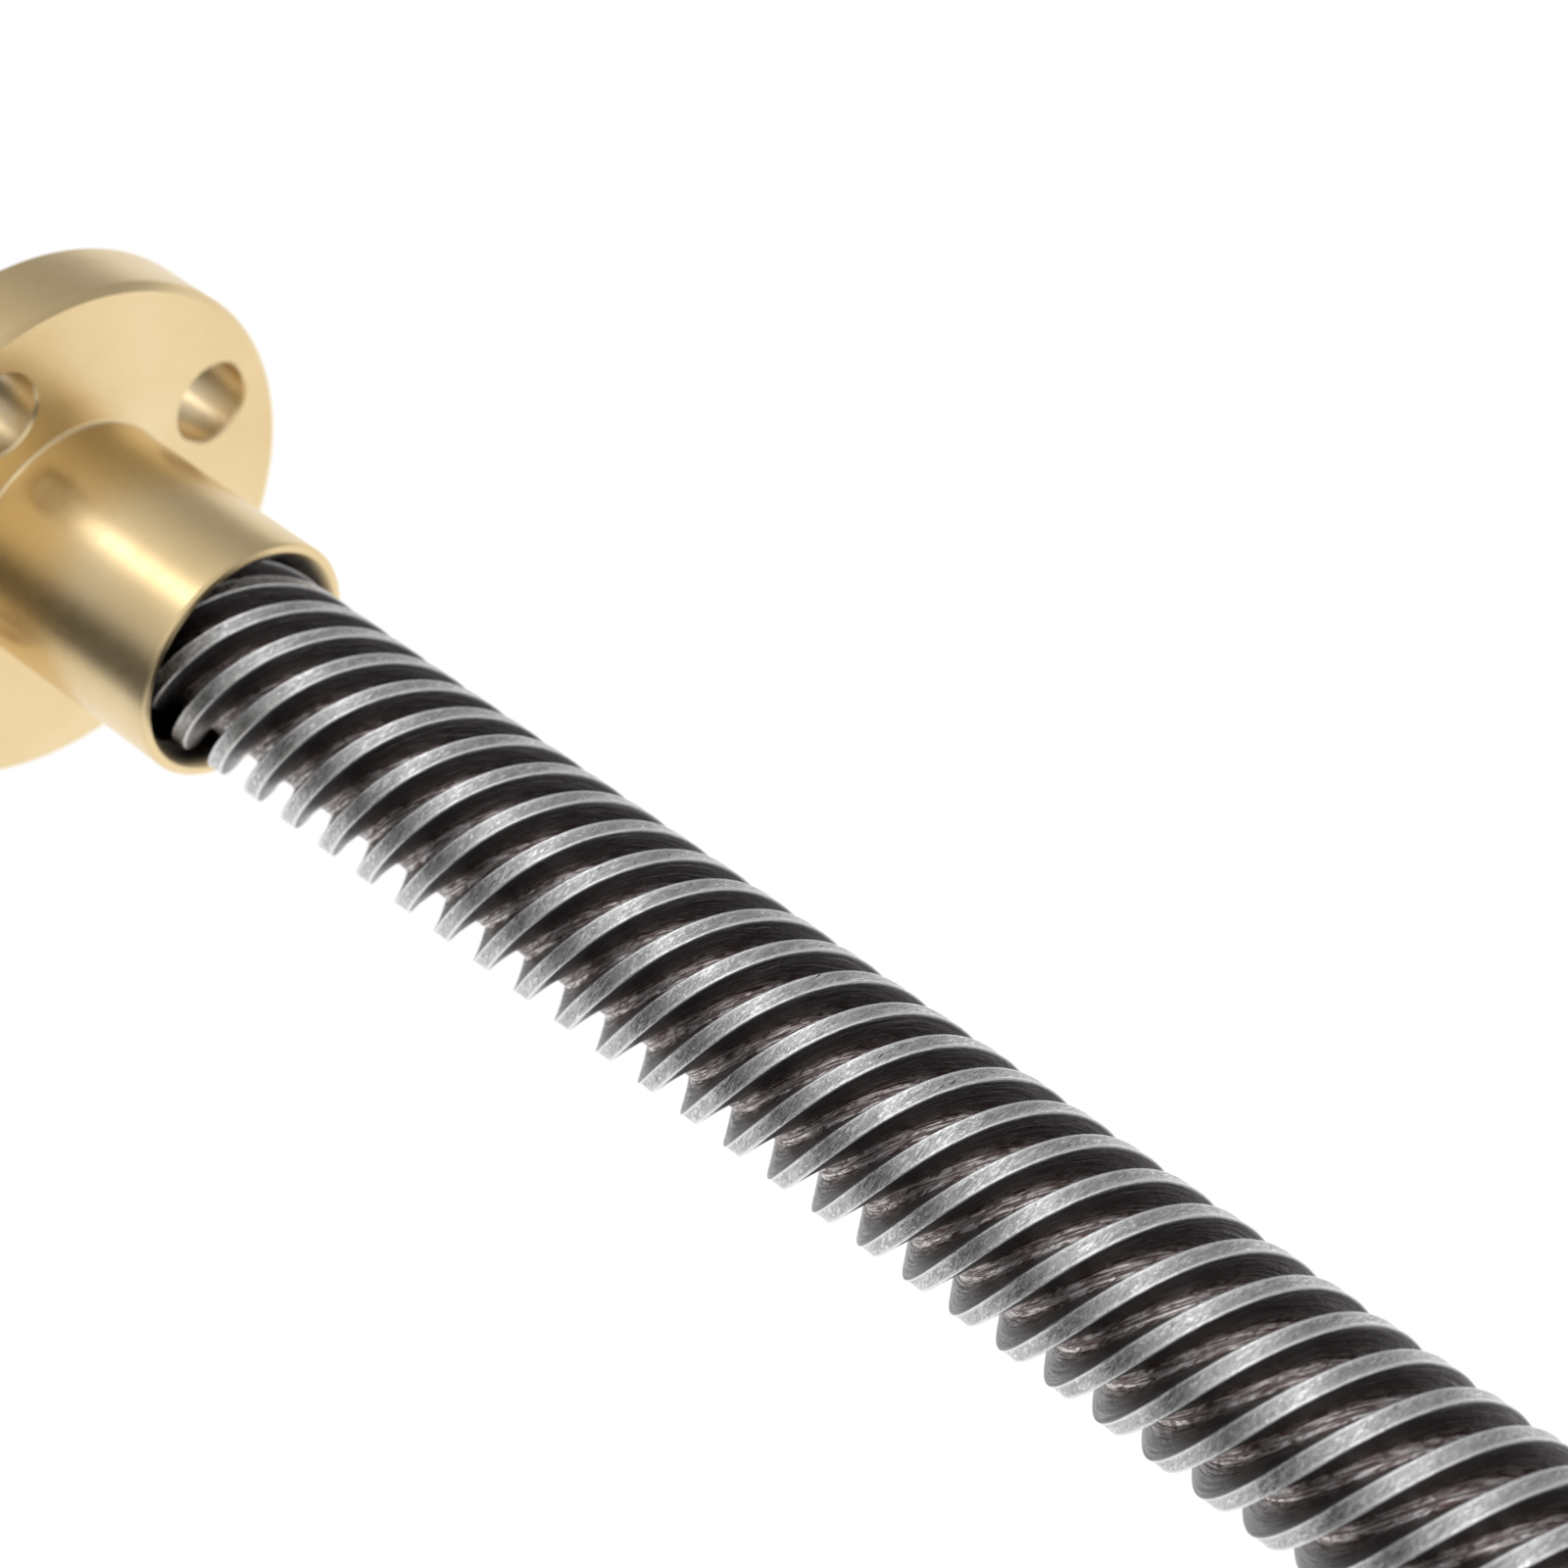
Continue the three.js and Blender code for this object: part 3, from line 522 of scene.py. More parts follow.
def build_front_cover():
    stations = [(X_STACK_FRONT, 0.12), (X_STACK_FRONT + 0.12, 0.0), (-0.35, 0.0),
                (-0.12, 0.07), (0, 0.3)]
    cover = blank("front_cover_fine", *prism(motor_outline(3.6, 0.9), stations))
    # round pilot standing proud of the mounting face
    pilot = round_profile([(-1, 0), (-1, 11), (1.55, 11), (2.0, 10.55), (2.0, 0)],
                          [0, 0, .1, .1, 0], 3, closed=False)
    boolean(cover, [cutter(*lathe(pilot, 160))], "UNION")
    bore = [(-1.3, 0), (-1.3, 4.6), (1.7, 4.6), (3, 5.9), (3, 0)]
    tools = [cutter(*lathe(bore, 128)),
             plug(-9, -1.2, POCKET_R, 128),
             cover_cavity(-9, -2.5, -8.7, -2),
             plug(-9, -5.3, BOSS_TRIM_R)]
    tools += [cutter(*lathe(tapped_hole(), 40, y=y, z=z)) for y, z in BOLTS]
    boolean(cover, tools)
    shade(cover, 28)
    return register(cover, "front_cover", "motor")


def build_rear_cover():
    inner_end = X_STACK_REAR + 1                  # cutters run past the open end
    stations = [(X_REAR, 0.45), (X_REAR + 0.15, 0.12), (X_REAR + 0.45, 0.0),
                (X_STACK_REAR - 0.12, 0.0), (X_STACK_REAR, 0.12)]
    cover = blank("rear_cover_fine", *prism(motor_outline(3.6, 0.9), stations))
    centre_hole = [(X_REAR - 1, 0), (X_REAR - 1, 5.35), (X_REAR + 0.35, 4.0), (X_REAR + 2, 4.0),
                   (X_REAR + 2, 0)]
    dish = [(X_REAR - 1, 0), (X_REAR - 1, 7.9), (X_REAR + 0.18, 7.7), (X_REAR + 0.18, 0)]
    bolt_hole = [(X_REAR - 1, 0), (X_REAR - 1, 4.2), (X_REAR + 0.2, 3.0), (BOLT_SEAT, 3.0),
                 (BOLT_SEAT, BOLT_CLEARANCE_R), (inner_end, BOLT_CLEARANCE_R), (inner_end, 0)]
    # opening in the +Z wall for the connector
    lo, hi = layout_box("connector_housing")
    half = hi[1] + 0.15
    notch = [(-half, 17.9), (half, 17.9), (half, HALF_WIDTH + 1), (-half, HALF_WIDTH + 1)]
    tools = [cover_cavity(X_REAR + 2.6, inner_end, X_REAR + 2, X_STACK_REAR + 1.6),
             plug(X_REAR + 7.65, inner_end, BOSS_TRIM_R),
             plug(X_REAR + 1.2, inner_end, POCKET_R, 128),
             cutter(*lathe(centre_hole, 128)),
             cutter(*lathe(dish, 128)),
             cutter(*prism(notch, [(lo[0] - 0.15, 0), (inner_end, 0)]))]
    tools += [cutter(*lathe(bolt_hole, 64, y=y, z=z)) for y, z in BOLTS]
    boolean(cover, tools)
    shade(cover, 28)
    return register(cover, "rear_cover", "motor")


front_cover = build_front_cover()
rear_cover = build_rear_cover()


# ------------------------------------------------------------------ lamination stack
SHEET = 0.5
SHEET_EDGE = 0.05         # length of the bevel at each sheet's edge
SHEET_GAP = 0.055         # depth of the groove between sheets
TEETH = 6                 # per pole
TOOTH_DEG = 3.6
TOOTH_PITCH_DEG = 2 * TOOTH_DEG
HALF_SHOE_DEG = ((TEETH - 1) * TOOTH_PITCH_DEG + TOOTH_DEG) / 2
TOOTH_TIP_R, TOOTH_ROOT_R = 13.1, 13.9
SHOE_BACK_R = 14.5        # the shoe's back, at its ends
NECK_HALF_WIDTH = 2.3
NECK_INNER, NECK_OUTER = 14.7, 18.2


def stator_bore():
    """YZ outline of the eight toothed poles inside the stack."""
    outline = []
    for k in range(8):
        middle = 45 * k
        cos, sin = math.cos(middle * DEG), math.sin(middle * DEG)

        def neck(r, side):
            return r * cos - side * sin, r * sin + side * cos

        outline += [polar(NECK_OUTER * OCTAGON_CORNER, middle - 22.5),
                    neck(NECK_OUTER, -NECK_HALF_WIDTH), neck(NECK_INNER, -NECK_HALF_WIDTH),
                    polar(SHOE_BACK_R, middle - HALF_SHOE_DEG)]
        for j in range(TEETH):
            start = middle - HALF_SHOE_DEG + TOOTH_PITCH_DEG * j
            outline += [polar(TOOTH_TIP_R, start), polar(TOOTH_TIP_R, start + TOOTH_DEG / 2),
                        polar(TOOTH_TIP_R, start + TOOTH_DEG)]
            if j < TEETH - 1:
                outline += [polar(TOOTH_ROOT_R, start + TOOTH_DEG),
                            polar(TOOTH_ROOT_R, start + TOOTH_PITCH_DEG)]
        outline += [polar(SHOE_BACK_R, middle + HALF_SHOE_DEG),
                    neck(NECK_INNER, NECK_HALF_WIDTH), neck(NECK_OUTER, NECK_HALF_WIDTH)]
    return outline


def bolt_circle(y, z):
    angles = [2 * math.pi * t / 24 for t in range(24)]
    r = BOLT_CLEARANCE_R
    return [(y + r * math.cos(t), z + r * math.sin(t)) for t in angles]


def build_stack():
    length = X_STACK_FRONT - X_STACK_REAR
    sheets = int(round(length / SHEET))
    stations = []
    for i in range(sheets):
        rear = X_STACK_REAR + i * length / sheets
        front = X_STACK_REAR + (i + 1) * length / sheets
        stations += [(rear, SHEET_GAP), (rear + SHEET_EDGE, 0.0), (front - SHEET_EDGE, 0.0)]
    stations.append((X_STACK_FRONT, SHEET_GAP))
    outline = motor_outline(5.2, 0.5)
    verts, faces = prism(outline, stations)
    faces = faces[:-2]                            # the ends are closed below, round the holes
    count = len(outline)
    last = len(verts) - count
    rear_loops, front_loops = [list(range(count))], [list(range(last, last + count))]
    for loop in [stator_bore()] + [bolt_circle(y, z) for y, z in BOLTS]:
        first, size = len(verts), len(loop)
        for x in (X_STACK_REAR, X_STACK_FRONT):
            verts += [(x, y, z) for y, z in loop]
        faces += skin([first, first + size], size)
        rear_loops.append(list(range(first, first + size)))
        front_loops.append(list(range(first + size, first + 2 * size)))
    for loops in (rear_loops, front_loops):
        flat = [i for loop in loops for i in loop]
        polygons = [[Vector((verts[i][1], verts[i][2], 0)) for i in loop] for loop in loops]
        for triangle in geometry.tessellate_polygon(polygons):
            faces.append([flat[corner] for corner in triangle])
    return make("stator_core", verts, faces, "motor", "black_lamination", sharp=24)


stack = build_stack()


# ------------------------------------------------------------------ case screws
HEX_APOTHEM = 1.25
SCREW_SEGMENTS = 60
# socket head from the socket's mouth to the shank: (x from the seat, radius)
SCREW_HEAD = [(-2.0, 1.42), (-2.0, 2.35), (-1.93, 2.52), (-1.75, 2.68), (-1.5, 2.7),
              (-0.1, 2.7), (0, 2.6), (0, 1.62), (0.1, 1.5)]
SCREW_POINT = [(-4.5, 1.25), (-4.05, 1.0), (-4.0, 0.9), (-4.0, 0)]    # (x, radius)


def build_case_screw(number, y, z):
    major, minor = 1.5, 1.28
    count = SCREW_SEGMENTS
    profile = [(BOLT_SEAT + x, r) for x, r in SCREW_HEAD] + [(-9.0, major)]
    for x in np.arange(-8.8, -4.9, BOLT_PITCH):
        profile += [(x, major), (x + BOLT_PITCH / 4, minor), (x + BOLT_PITCH / 2, minor),
                    (x + BOLT_PITCH * 3 / 4, major)]
    verts, faces = lathe(profile + SCREW_POINT, count, y=y, z=z)

    # hexagonal socket, sunk from the first ring
    angles = [2 * math.pi * j / count for j in range(count)]
    hexagon = [HEX_APOTHEM / math.cos(a % (math.pi / 3) - math.pi / 6) for a in angles]
    socket = [(-2.0 + 0.06, [min(1.42, r + 0.03) for r in hexagon]), (-2.0 + 0.14, hexagon),
              (-0.85, hexagon), (-0.7, [0.9] * count)]
    starts = [0]
    for x, radii in socket:
        starts.append(len(verts))
        for r, a in zip(radii, angles):
            verts.append((BOLT_SEAT + x, y + r * math.cos(a), z + r * math.sin(a)))
    faces += skin(starts, count)
    floor_point = len(verts)
    verts.append((BOLT_SEAT - 0.55, y, z))
    for j in range(count):
        faces.append([starts[-1] + j, starts[-1] + (j + 1) % count, floor_point])
    return make(f"case_screw_{number}", verts, faces, "motor", "black_screw_steel")


case_screws = [build_case_screw(i, y, z) for i, (y, z) in enumerate(BOLTS, 1)]


# ------------------------------------------------------------------ bearings
BEARING_HALF_WIDTH = 2.5
BALLS = 7
BALL_R, BALL_CIRCLE_R = 1.5, 5.25
# pressed shield: (x from the bearing's middle, outward; radius)
SHIELD = [(2.2, 6.5), (2.2, 5.9), (2.1, 5.7), (2.1, 4.7), (2.2, 4.5), (2.2, 4.27),
          (2.0, 4.27), (1.96, 4.6), (1.96, 6.5)]


def bearing_ring(cad, middle, face_r, far_r, far_rounding, body):
    """A ring with its ball groove in the surface at face_r and its back at far_r."""
    rear, front = middle - BEARING_HALF_WIDTH, middle + BEARING_HALF_WIDTH
    profile = round_profile([(rear, face_r), (rear, far_r), (front, far_r), (front, face_r)],
                            [.1, far_rounding, far_rounding, .1], 3)
    depth = math.copysign(0.3, far_r - face_r)
    for t in np.linspace(0, math.pi, 9):
        profile.append((middle + 1.3 * math.cos(t), face_r + depth * math.sin(t)))
    return make(cad, *lathe(profile, closed=True), body, "bearing_steel")


def build_bearing(side):
    """Returns the ground parts (rings and balls) and the two shields."""
    lo, hi = layout_box(f"{side}_bearing_outer_ring")
    middle = (lo[0] + hi[0]) / 2
    ground = [
        bearing_ring(f"{side}_bearing_outer_ring", middle, 6.6, BEARING_R, .3, "motor"),
        bearing_ring(f"{side}_bearing_inner_ring", middle, 4.0, JOURNAL_R + 0.03, .25, "rotor")]
    shields = []
    for face, sign in (("front", 1), ("rear", -1)):
        profile = [(middle + sign * x, r) for x, r in SHIELD]
        shields.append(make(f"{side}_bearing_shield_{face}", *lathe(profile, closed=True),
                            "motor", "shield_steel"))
    profile = [(middle - BALL_R * math.cos(t), BALL_R * math.sin(t))
               for t in np.linspace(0, math.pi, 17)]
    for k in range(BALLS):
        angle = 2 * math.pi * k / BALLS
        ball = lathe(profile, 32, y=BALL_CIRCLE_R * math.cos(angle),
                     z=BALL_CIRCLE_R * math.sin(angle))
        ground.append(make(f"{side}_bearing_ball_{k + 1}", *ball, f"{side}_cage",
                           "bearing_steel", sharp=60))
    return ground, shields


front_ground, front_shields = build_bearing("front")
rear_ground, rear_shields = build_bearing("rear")


def build_wave_washer():
    """A thin ring with three waves round it."""
    lo, hi = layout_box("wave_washer")
    thick, edge, count = 0.25, 0.03, 144
    inner, outer = 6.1, 7.7
    middle = (lo[0] + hi[0] - thick) / 2
    wave = (hi[0] - lo[0] - thick) / 2
    # (x, radius) of the section, with bevelled edges
    section = [(edge, inner), (0, inner + edge), (0, outer - edge), (edge, outer),
               (thick - edge, outer), (thick, outer - edge), (thick, inner + edge),
               (thick - edge, inner)]
    verts = []
    for i in range(count):
        angle = 2 * math.pi * i / count
        x = middle + wave * math.cos(3 * angle)
        verts += [(x + dx, r * math.cos(angle), r * math.sin(angle)) for dx, r in section]
    starts = [*range(0, len(verts), len(section)), 0]
    faces = skin(starts, len(section))
    return make("wave_washer", verts, faces, "motor", "shield_steel")


washer = build_wave_washer()


# ------------------------------------------------------------------ connector
PINS = 6
PIN_PITCH = 2


def build_housing():
    (x0, _, z0), (x1, y1, z1) = layout_box("connector_housing")
    pin_lo, pin_hi = layout_box("connector_pin_1")
    pin_x = (pin_lo[0] + pin_hi[0]) / 2
    hole = 0.3
    ob = blank("connector_housing_fine", *box(x0, x1, -y1, y1, z0, z1))
    tools = [cutter(*box(x0 + 0.8, x1 - 0.8, -y1 + 0.9, y1 - 0.9, z0 + 1.2, z1 + 1))]
    for y0 in (-5.2, 3.4):                        # two slots in the +X wall
        tools.append(cutter(*box(x1 - 1, x1 + 1, y0, y0 + 1.8, z0 + 2.4, z1 + 1)))
    for i in range(PINS):
        y = (i - (PINS - 1) / 2) * PIN_PITCH
        tools.append(cutter(*box(pin_x - hole, pin_x + hole, y - hole, y + hole, z0 - 1, z0 + 2)))
    boolean(ob, tools)
    bevel = ob.modifiers.new("bevel", "BEVEL")
    bevel.width = 0.14 * MM
    bevel.segments = 3
    bevel.limit_method = "ANGLE"
    bevel.angle_limit = 40 * DEG
    apply_modifiers(ob)
    shade(ob, 35)
    return register(ob, "connector_housing", "motor")


def build_pin(number):
    """A square pin along Z, tapered at both ends."""
    cad = f"connector_pin_{number}"
    lo, hi = layout_box(cad)
    x, y, _ = (lo + hi) / 2
    half = (hi[0] - lo[0]) / 2
    verts = []
    # (z, share of the full width)
    for z, share in ((lo[2], 0.5), (lo[2] + 0.4, 1), (hi[2] - 0.5, 1), (hi[2], 0.45)):
        h = half * share
        section = round_profile([(-h, -h), (h, -h), (h, h), (-h, h)], 0.05, 2)
        verts += [(x + dx, y + dy, z) for dx, dy in section]
    count = len(section)
    faces = skin(range(0, len(verts), count), count)
    faces += [list(range(count)), list(range(3 * count, 4 * count))]
    return make(cad, verts, faces, "motor", "tinned_pin")


housing = build_housing()
pins = [build_pin(i + 1) for i in range(PINS)]


# ------------------------------------------------------------------ shader helpers
def rgba(value):
    """A grey level or an RGB triple as a full colour."""
    return (*(value if hasattr(value, "__len__") else (value,) * 3), 1)


class Graph:
    """The node tree of a material or world. Inputs may be sockets or plain values."""

    def __init__(self, owner):
        owner.use_nodes = True
        self.tree = owner.node_tree
        self.tree.nodes.clear()

    def node(self, kind, **settings):
        node = self.tree.nodes.new(kind)
        for key, value in settings.items():
            setattr(node, key, value)
        return node

    def feed(self, socket, value):
        if isinstance(value, bpy.types.NodeSocket):
            self.tree.links.new(value, socket)
        else:
            socket.default_value = value

    def filled(self, kind, inputs, **settings):
        """A new node with its inputs fed, by index or name."""
        node = self.node(kind, **settings)
        for key, value in inputs.items():
            self.feed(node.inputs[key], value)
        return node

    def attr(self, name, out="Color"):
        return self.node("ShaderNodeAttribute", attribute_name=name).outputs[out]

    def mapping(self, vector, scale):
        return self.filled("ShaderNodeMapping", {"Vector": vector, "Scale": scale}).outputs[0]

    def coords(self, scale, attribute=None):
        """Scaled millimetres in object space, or a scaled vector attribute."""
        if attribute:
            return self.mapping(self.attr(attribute, "Vector"), scale)
        source = self.node("ShaderNodeTexCoord").outputs["Object"]
        return self.mapping(source, tuple(s * MM_PER_METRE for s in scale))

    def noise(self, vector, scale=1.0, detail=4.0, rough=0.6, distortion=0.0):
        inputs = {"Vector": vector, "Scale": scale, "Detail": detail, "Roughness": rough,
                  "Distortion": distortion}
        return self.filled("ShaderNodeTexNoise", inputs).outputs["Fac"]

    def voronoi(self, vector):
        inputs = {"Vector": vector, "Scale": 1.0}
        return self.filled("ShaderNodeTexVoronoi", inputs).outputs["Distance"]

    def ramp(self, factor, stops):
        """stops is [(position, grey or colour)]."""
        node = self.node("ShaderNodeValToRGB")
        elements = node.color_ramp.elements
        while len(elements) < len(stops):
            elements.new(0.5)
        for element, (position, value) in zip(elements, stops):
            element.position = position
            element.color = rgba(value)
        self.feed(node.inputs[0], factor)
        return node.outputs[0]

    def mix(self, factor, a, b):
        a, b = (v if isinstance(v, bpy.types.NodeSocket) else rgba(v) for v in (a, b))
        inputs = {0: factor, 6: a, 7: b}
        return self.filled("ShaderNodeMix", inputs, data_type="RGBA").outputs[2]

    def math(self, operation, a, b=0.0):
        return self.filled("ShaderNodeMath", {0: a, 1: b}, operation=operation).outputs[0]

    def remap(self, value, source, target):
        """Maps the range source = (low, high) onto target = (low, high)."""
        inputs = dict(enumerate((value, *source, *target)))
        return self.filled("ShaderNodeMapRange", inputs).outputs[0]

    def separate(self, vector):
        return self.filled("ShaderNodeSeparateXYZ", {0: vector}).outputs

    def bump(self, height, strength, distance, normal=None):
        """distance in millimetres."""
        inputs = {"Strength": strength, "Distance": distance * MM, "Height": height}
        if normal is not None:
            inputs["Normal"] = normal
        return self.filled("ShaderNodeBump", inputs).outputs[0]

    def split_rays(self, output, camera, others):
        """One shader for camera rays and another for everything else."""
        is_camera = self.node("ShaderNodeLightPath").outputs["Is Camera Ray"]
        inputs = {0: is_camera, 1: others.outputs[0], 2: camera.outputs[0]}
        mixed = self.filled("ShaderNodeMixShader", inputs)
        self.feed(output.inputs[0], mixed.outputs[0])


class Material(Graph):
    def __init__(self, name):
        self.material = bpy.data.materials.new(name)
        super().__init__(self.material)
        output = self.node("ShaderNodeOutputMaterial")
        self.principled = self.node("ShaderNodeBsdfPrincipled")
        self.feed(output.inputs[0], self.principled.outputs[0])

    def surface(self, color, metallic, roughness, normal):
        values = {"Base Color": color, "Metallic": metallic, "Roughness": roughness,
                  "Normal": normal}
        for name, value in values.items():
            self.feed(self.principled.inputs[name], value)

    def use(self, *obs):
        for ob in obs:
            ob.data.materials.clear()
            ob.data.materials.append(self.material)


# ------------------------------------------------------------------ materials
def rolled_steel():
    """Bright mottled crests with painted highlights on their lips, streaked flanks darkened with
    painted shade, and grainy roots.
    """
    m = Material("rolled_steel")
    zone = m.filled("ShaderNodeSeparateColor", {0: m.attr("zone")}).outputs
    crest, lip, root = zone[0], zone[1], zone[2]
    motor_side = m.attr("zone", "Alpha")
    streak = m.noise(m.coords((0.30, 9.0, 1), "helix"))
    grain = m.noise(m.coords((0.65, 12.0, 1), "helix"), rough=0.65, distortion=0.25)
    dash = m.noise(m.coords((1.7, 5.0, 1), "helix"), detail=3, distortion=0.6)
    mottle = m.noise(m.coords((0.9, 1.4, 1), "helix"), detail=3, distortion=0.5)
    fleck = m.noise(m.coords((3.4, 5.4, 1), "helix"), rough=0.68, distortion=1.5)

    crest_color = m.ramp(mottle, [(0.36, (0.39, 0.39, 0.393)), (0.50, (0.45, 0.45, 0.453)),
                                  (0.64, (0.51, 0.51, 0.51))])
    dark_flecks = m.ramp(fleck, [(0.38, 0.60), (0.47, 0.0)])
    crest_color = m.mix(dark_flecks, crest_color, (0.20, 0.20, 0.20))
    bright_flecks = m.ramp(fleck, [(0.54, 0.0), (0.61, 0.75)])
    crest_color = m.mix(bright_flecks, crest_color, (0.88, 0.88, 0.875))

    # painted shade: the flanks are coloured dark as the shade inside the groove; their streaks
    # along the thread are the steel's own marks
    flank_dark = m.ramp(streak, [(0.35, (0.086, 0.080, 0.079)), (0.58, (0.145, 0.136, 0.134)),
                                 (0.72, (0.29, 0.278, 0.274))])
    flank_pale = m.ramp(streak, [(0.35, (0.09, 0.086, 0.085)), (0.65, (0.27, 0.263, 0.26))])
    flank_color = m.mix(motor_side, flank_dark, flank_pale)

    root_color = m.ramp(grain, [(0.41, (0.12, 0.064, 0.062)), (0.455, (0.34, 0.25, 0.245)),
                                (0.51, (0.72, 0.675, 0.67)), (0.57, (0.96, 0.94, 0.935))])
    dashes = m.ramp(dash, [(0.42, 0.80), (0.49, 0.0)])
    root_color = m.mix(dashes, root_color, (0.10, 0.064, 0.057))
    shadow = m.remap(motor_side, (0.0, 1.0), (0.40, 0.0))
    root_color = m.mix(shadow, root_color, (0.085, 0.055, 0.052))

    color = m.mix(root, flank_color, root_color)
    color = m.mix(crest, color, crest_color)
    # painted highlight: the lip band along each crest edge is coloured pale grey
    color = m.mix(lip, color, (0.80, 0.80, 0.80))
    pit = m.math("LESS_THAN", m.voronoi(m.coords((0.9, 0.9, 1), "helix")), 0.055)
    color = m.mix(m.math("MULTIPLY", pit, crest), color, (0.03, 0.03, 0.03))

    crest_rough = m.remap(fleck, (0.38, 0.62), (0.29, 0.19))
    groove_rough = m.remap(grain, (0.38, 0.62), (0.42, 0.27))
    roughness = m.mix(crest, groove_rough, crest_rough)
    fine = m.bump(m.mix(crest, grain, fleck), strength=1.0, distance=0.038)
    coarse = m.bump(m.mix(crest, dash, mottle), strength=0.8, distance=0.05, normal=fine)
    m.surface(color=color, metallic=1.0, roughness=roughness, normal=coarse)
    return m


def turned_brass():
    """Turning marks run round the axis; the bore is painted near-black as shade and the drilled
    holes are paler.
    """
    m = Material("turned_brass")
    position = m.node("ShaderNodeTexCoord").outputs["Object"]
    inputs = {0: position, 1: tuple(ORIGIN)}
    centred = m.filled("ShaderNodeVectorMath", inputs, operation="SUBTRACT").outputs[0]
    x, y, z = m.separate(centred)
    angle = m.math("ARCTAN2", z, y)
    squares = m.math("ADD", m.math("POWER", y, 2.0), m.math("POWER", z, 2.0))
    radius = m.math("SQRT", squares)
    cylinder = m.filled("ShaderNodeCombineXYZ", {
        0: m.math("MULTIPLY", x, MM_PER_METRE),
        1: m.math("MULTIPLY", radius, MM_PER_METRE),
        2: angle}).outputs[0]
    turning = m.noise(m.mapping(cylinder, (6.0, 6.0, 0.35)))
    cloud = m.noise(m.coords((0.14, 0.14, 0.14)), detail=3, rough=0.55)
    speck = m.noise(m.coords((2.2, 2.2, 2.2)), detail=3)

    color = m.ramp(cloud, [(0.3, (0.74, 0.565, 0.305)), (0.55, (0.78, 0.615, 0.355)),
                           (0.75, (0.81, 0.66, 0.405))])
    marks = m.ramp(turning, [(0.35, 0.0), (0.7, 0.22)])
    color = m.mix(marks, color, (0.72, 0.54, 0.28))
    pale = m.math("MULTIPLY", m.attr("drilled", "Fac"),
                  m.remap(turning, (0.35, 0.65), (0.0, 0.8)))
    color = m.mix(pale, color, (0.80, 0.68, 0.48))
    # painted shade: the threaded bore is coloured near-black
    color = m.mix(m.attr("bore", "Fac"), color, (0.05, 0.038, 0.028))
    drilled = m.attr("drilled", "Fac")
    m.surface(
        color=color, metallic=1.0,
        roughness=m.mix(drilled, m.remap(speck, (0.3, 0.7), (0.27, 0.33)), 0.36),
        normal=m.bump(m.mix(0.3, turning, speck), strength=0.12, distance=0.006))
    return m


def machined_aluminium():
    m = Material("machined_aluminium")
    fine = m.noise(m.coords((1, 1, 1)), scale=5.0, detail=6, rough=0.65)
    lines = m.noise(m.coords((1.2, 0.25, 7.0)), scale=2.2)
    cloud = m.noise(m.coords((0.1, 0.1, 0.1)), detail=3, rough=0.5)
    m.surface(
        color=m.ramp(cloud, [(0.3, (0.56, 0.565, 0.57)), (0.7, (0.66, 0.665, 0.67))]),
        metallic=1.0,
        roughness=m.remap(fine, (0.3, 0.7), (0.34, 0.46)),
        normal=m.bump(m.mix(0.5, fine, lines), strength=0.3, distance=0.02))
    return m


def varnished_laminations():
    """Near black, with the tone changing along X from sheet to sheet."""
    m = Material("varnished_laminations")
    fine = m.noise(m.coords((1, 1, 1)), scale=3.0, detail=5)
    sheets = m.noise(m.coords((2.0, 0.05, 0.05)), detail=2, rough=0.5)
    m.surface(
        color=m.ramp(sheets, [(0.35, (0.010, 0.010, 0.011)), (0.6, (0.020, 0.020, 0.022)),
                              (0.75, (0.035, 0.034, 0.034))]),
        metallic=0.35,
        roughness=m.remap(fine, (0.3, 0.7), (0.32, 0.5)),
        normal=m.bump(fine, strength=0.25, distance=0.02))
    return m


def plain(name, base, vary, rough, metallic, scale=2.0, stretch=(1, 1, 1), bump=0.2,
          depth=0.02):
    """One colour, varied by vary either way; scale and stretch set the grain."""
    m = Material(name)
    grain = m.noise(m.coords(stretch), scale=scale, detail=5)
    cloud = m.noise(m.coords((0.12, 0.12, 0.12)), detail=3, rough=0.5)
    dark = tuple(max(0.0, c - vary) for c in base)
    light = tuple(min(1.0, c + vary) for c in base)
    color = m.ramp(grain, [(0.3, dark), (0.7, light)])
    shade_amount = m.ramp(cloud, [(0.35, 0.0), (0.7, 0.25)])
    m.surface(
        color=m.mix(shade_amount, color, tuple(c * 0.8 for c in base)),
        metallic=metallic,
        roughness=m.remap(grain, (0.3, 0.7), (rough - 0.05, rough + 0.07)),
        normal=m.bump(grain, strength=bump, distance=depth))
    return m


rolled_steel().use(screw)
turned_brass().use(nut)
machined_aluminium().use(front_cover, rear_cover)
varnished_laminations().use(stack)
plain("black_oxide", (0.045, 0.045, 0.05), vary=0.015, rough=0.38, metallic=0.9,
      scale=3.0).use(*case_screws)
plain("bearing_steel", (0.62, 0.63, 0.65), vary=0.03, rough=0.14, metallic=1.0,
      scale=4.0, bump=0.05).use(*front_ground, *rear_ground)
pressed_steel = plain("pressed_steel", (0.5, 0.5, 0.51), vary=0.05, rough=0.3, metallic=1.0,
                      scale=3.0, bump=0.1)
pressed_steel.use(*front_shields, *rear_shields, washer)
plain("cream_plastic", (0.80, 0.78, 0.70), vary=0.02, rough=0.38, metallic=0.0,
      scale=1.5, bump=0.08).use(housing)
plain("tinned_pin", (0.70, 0.68, 0.62), vary=0.04, rough=0.22, metallic=1.0,
      scale=5.0, bump=0.05).use(*pins)

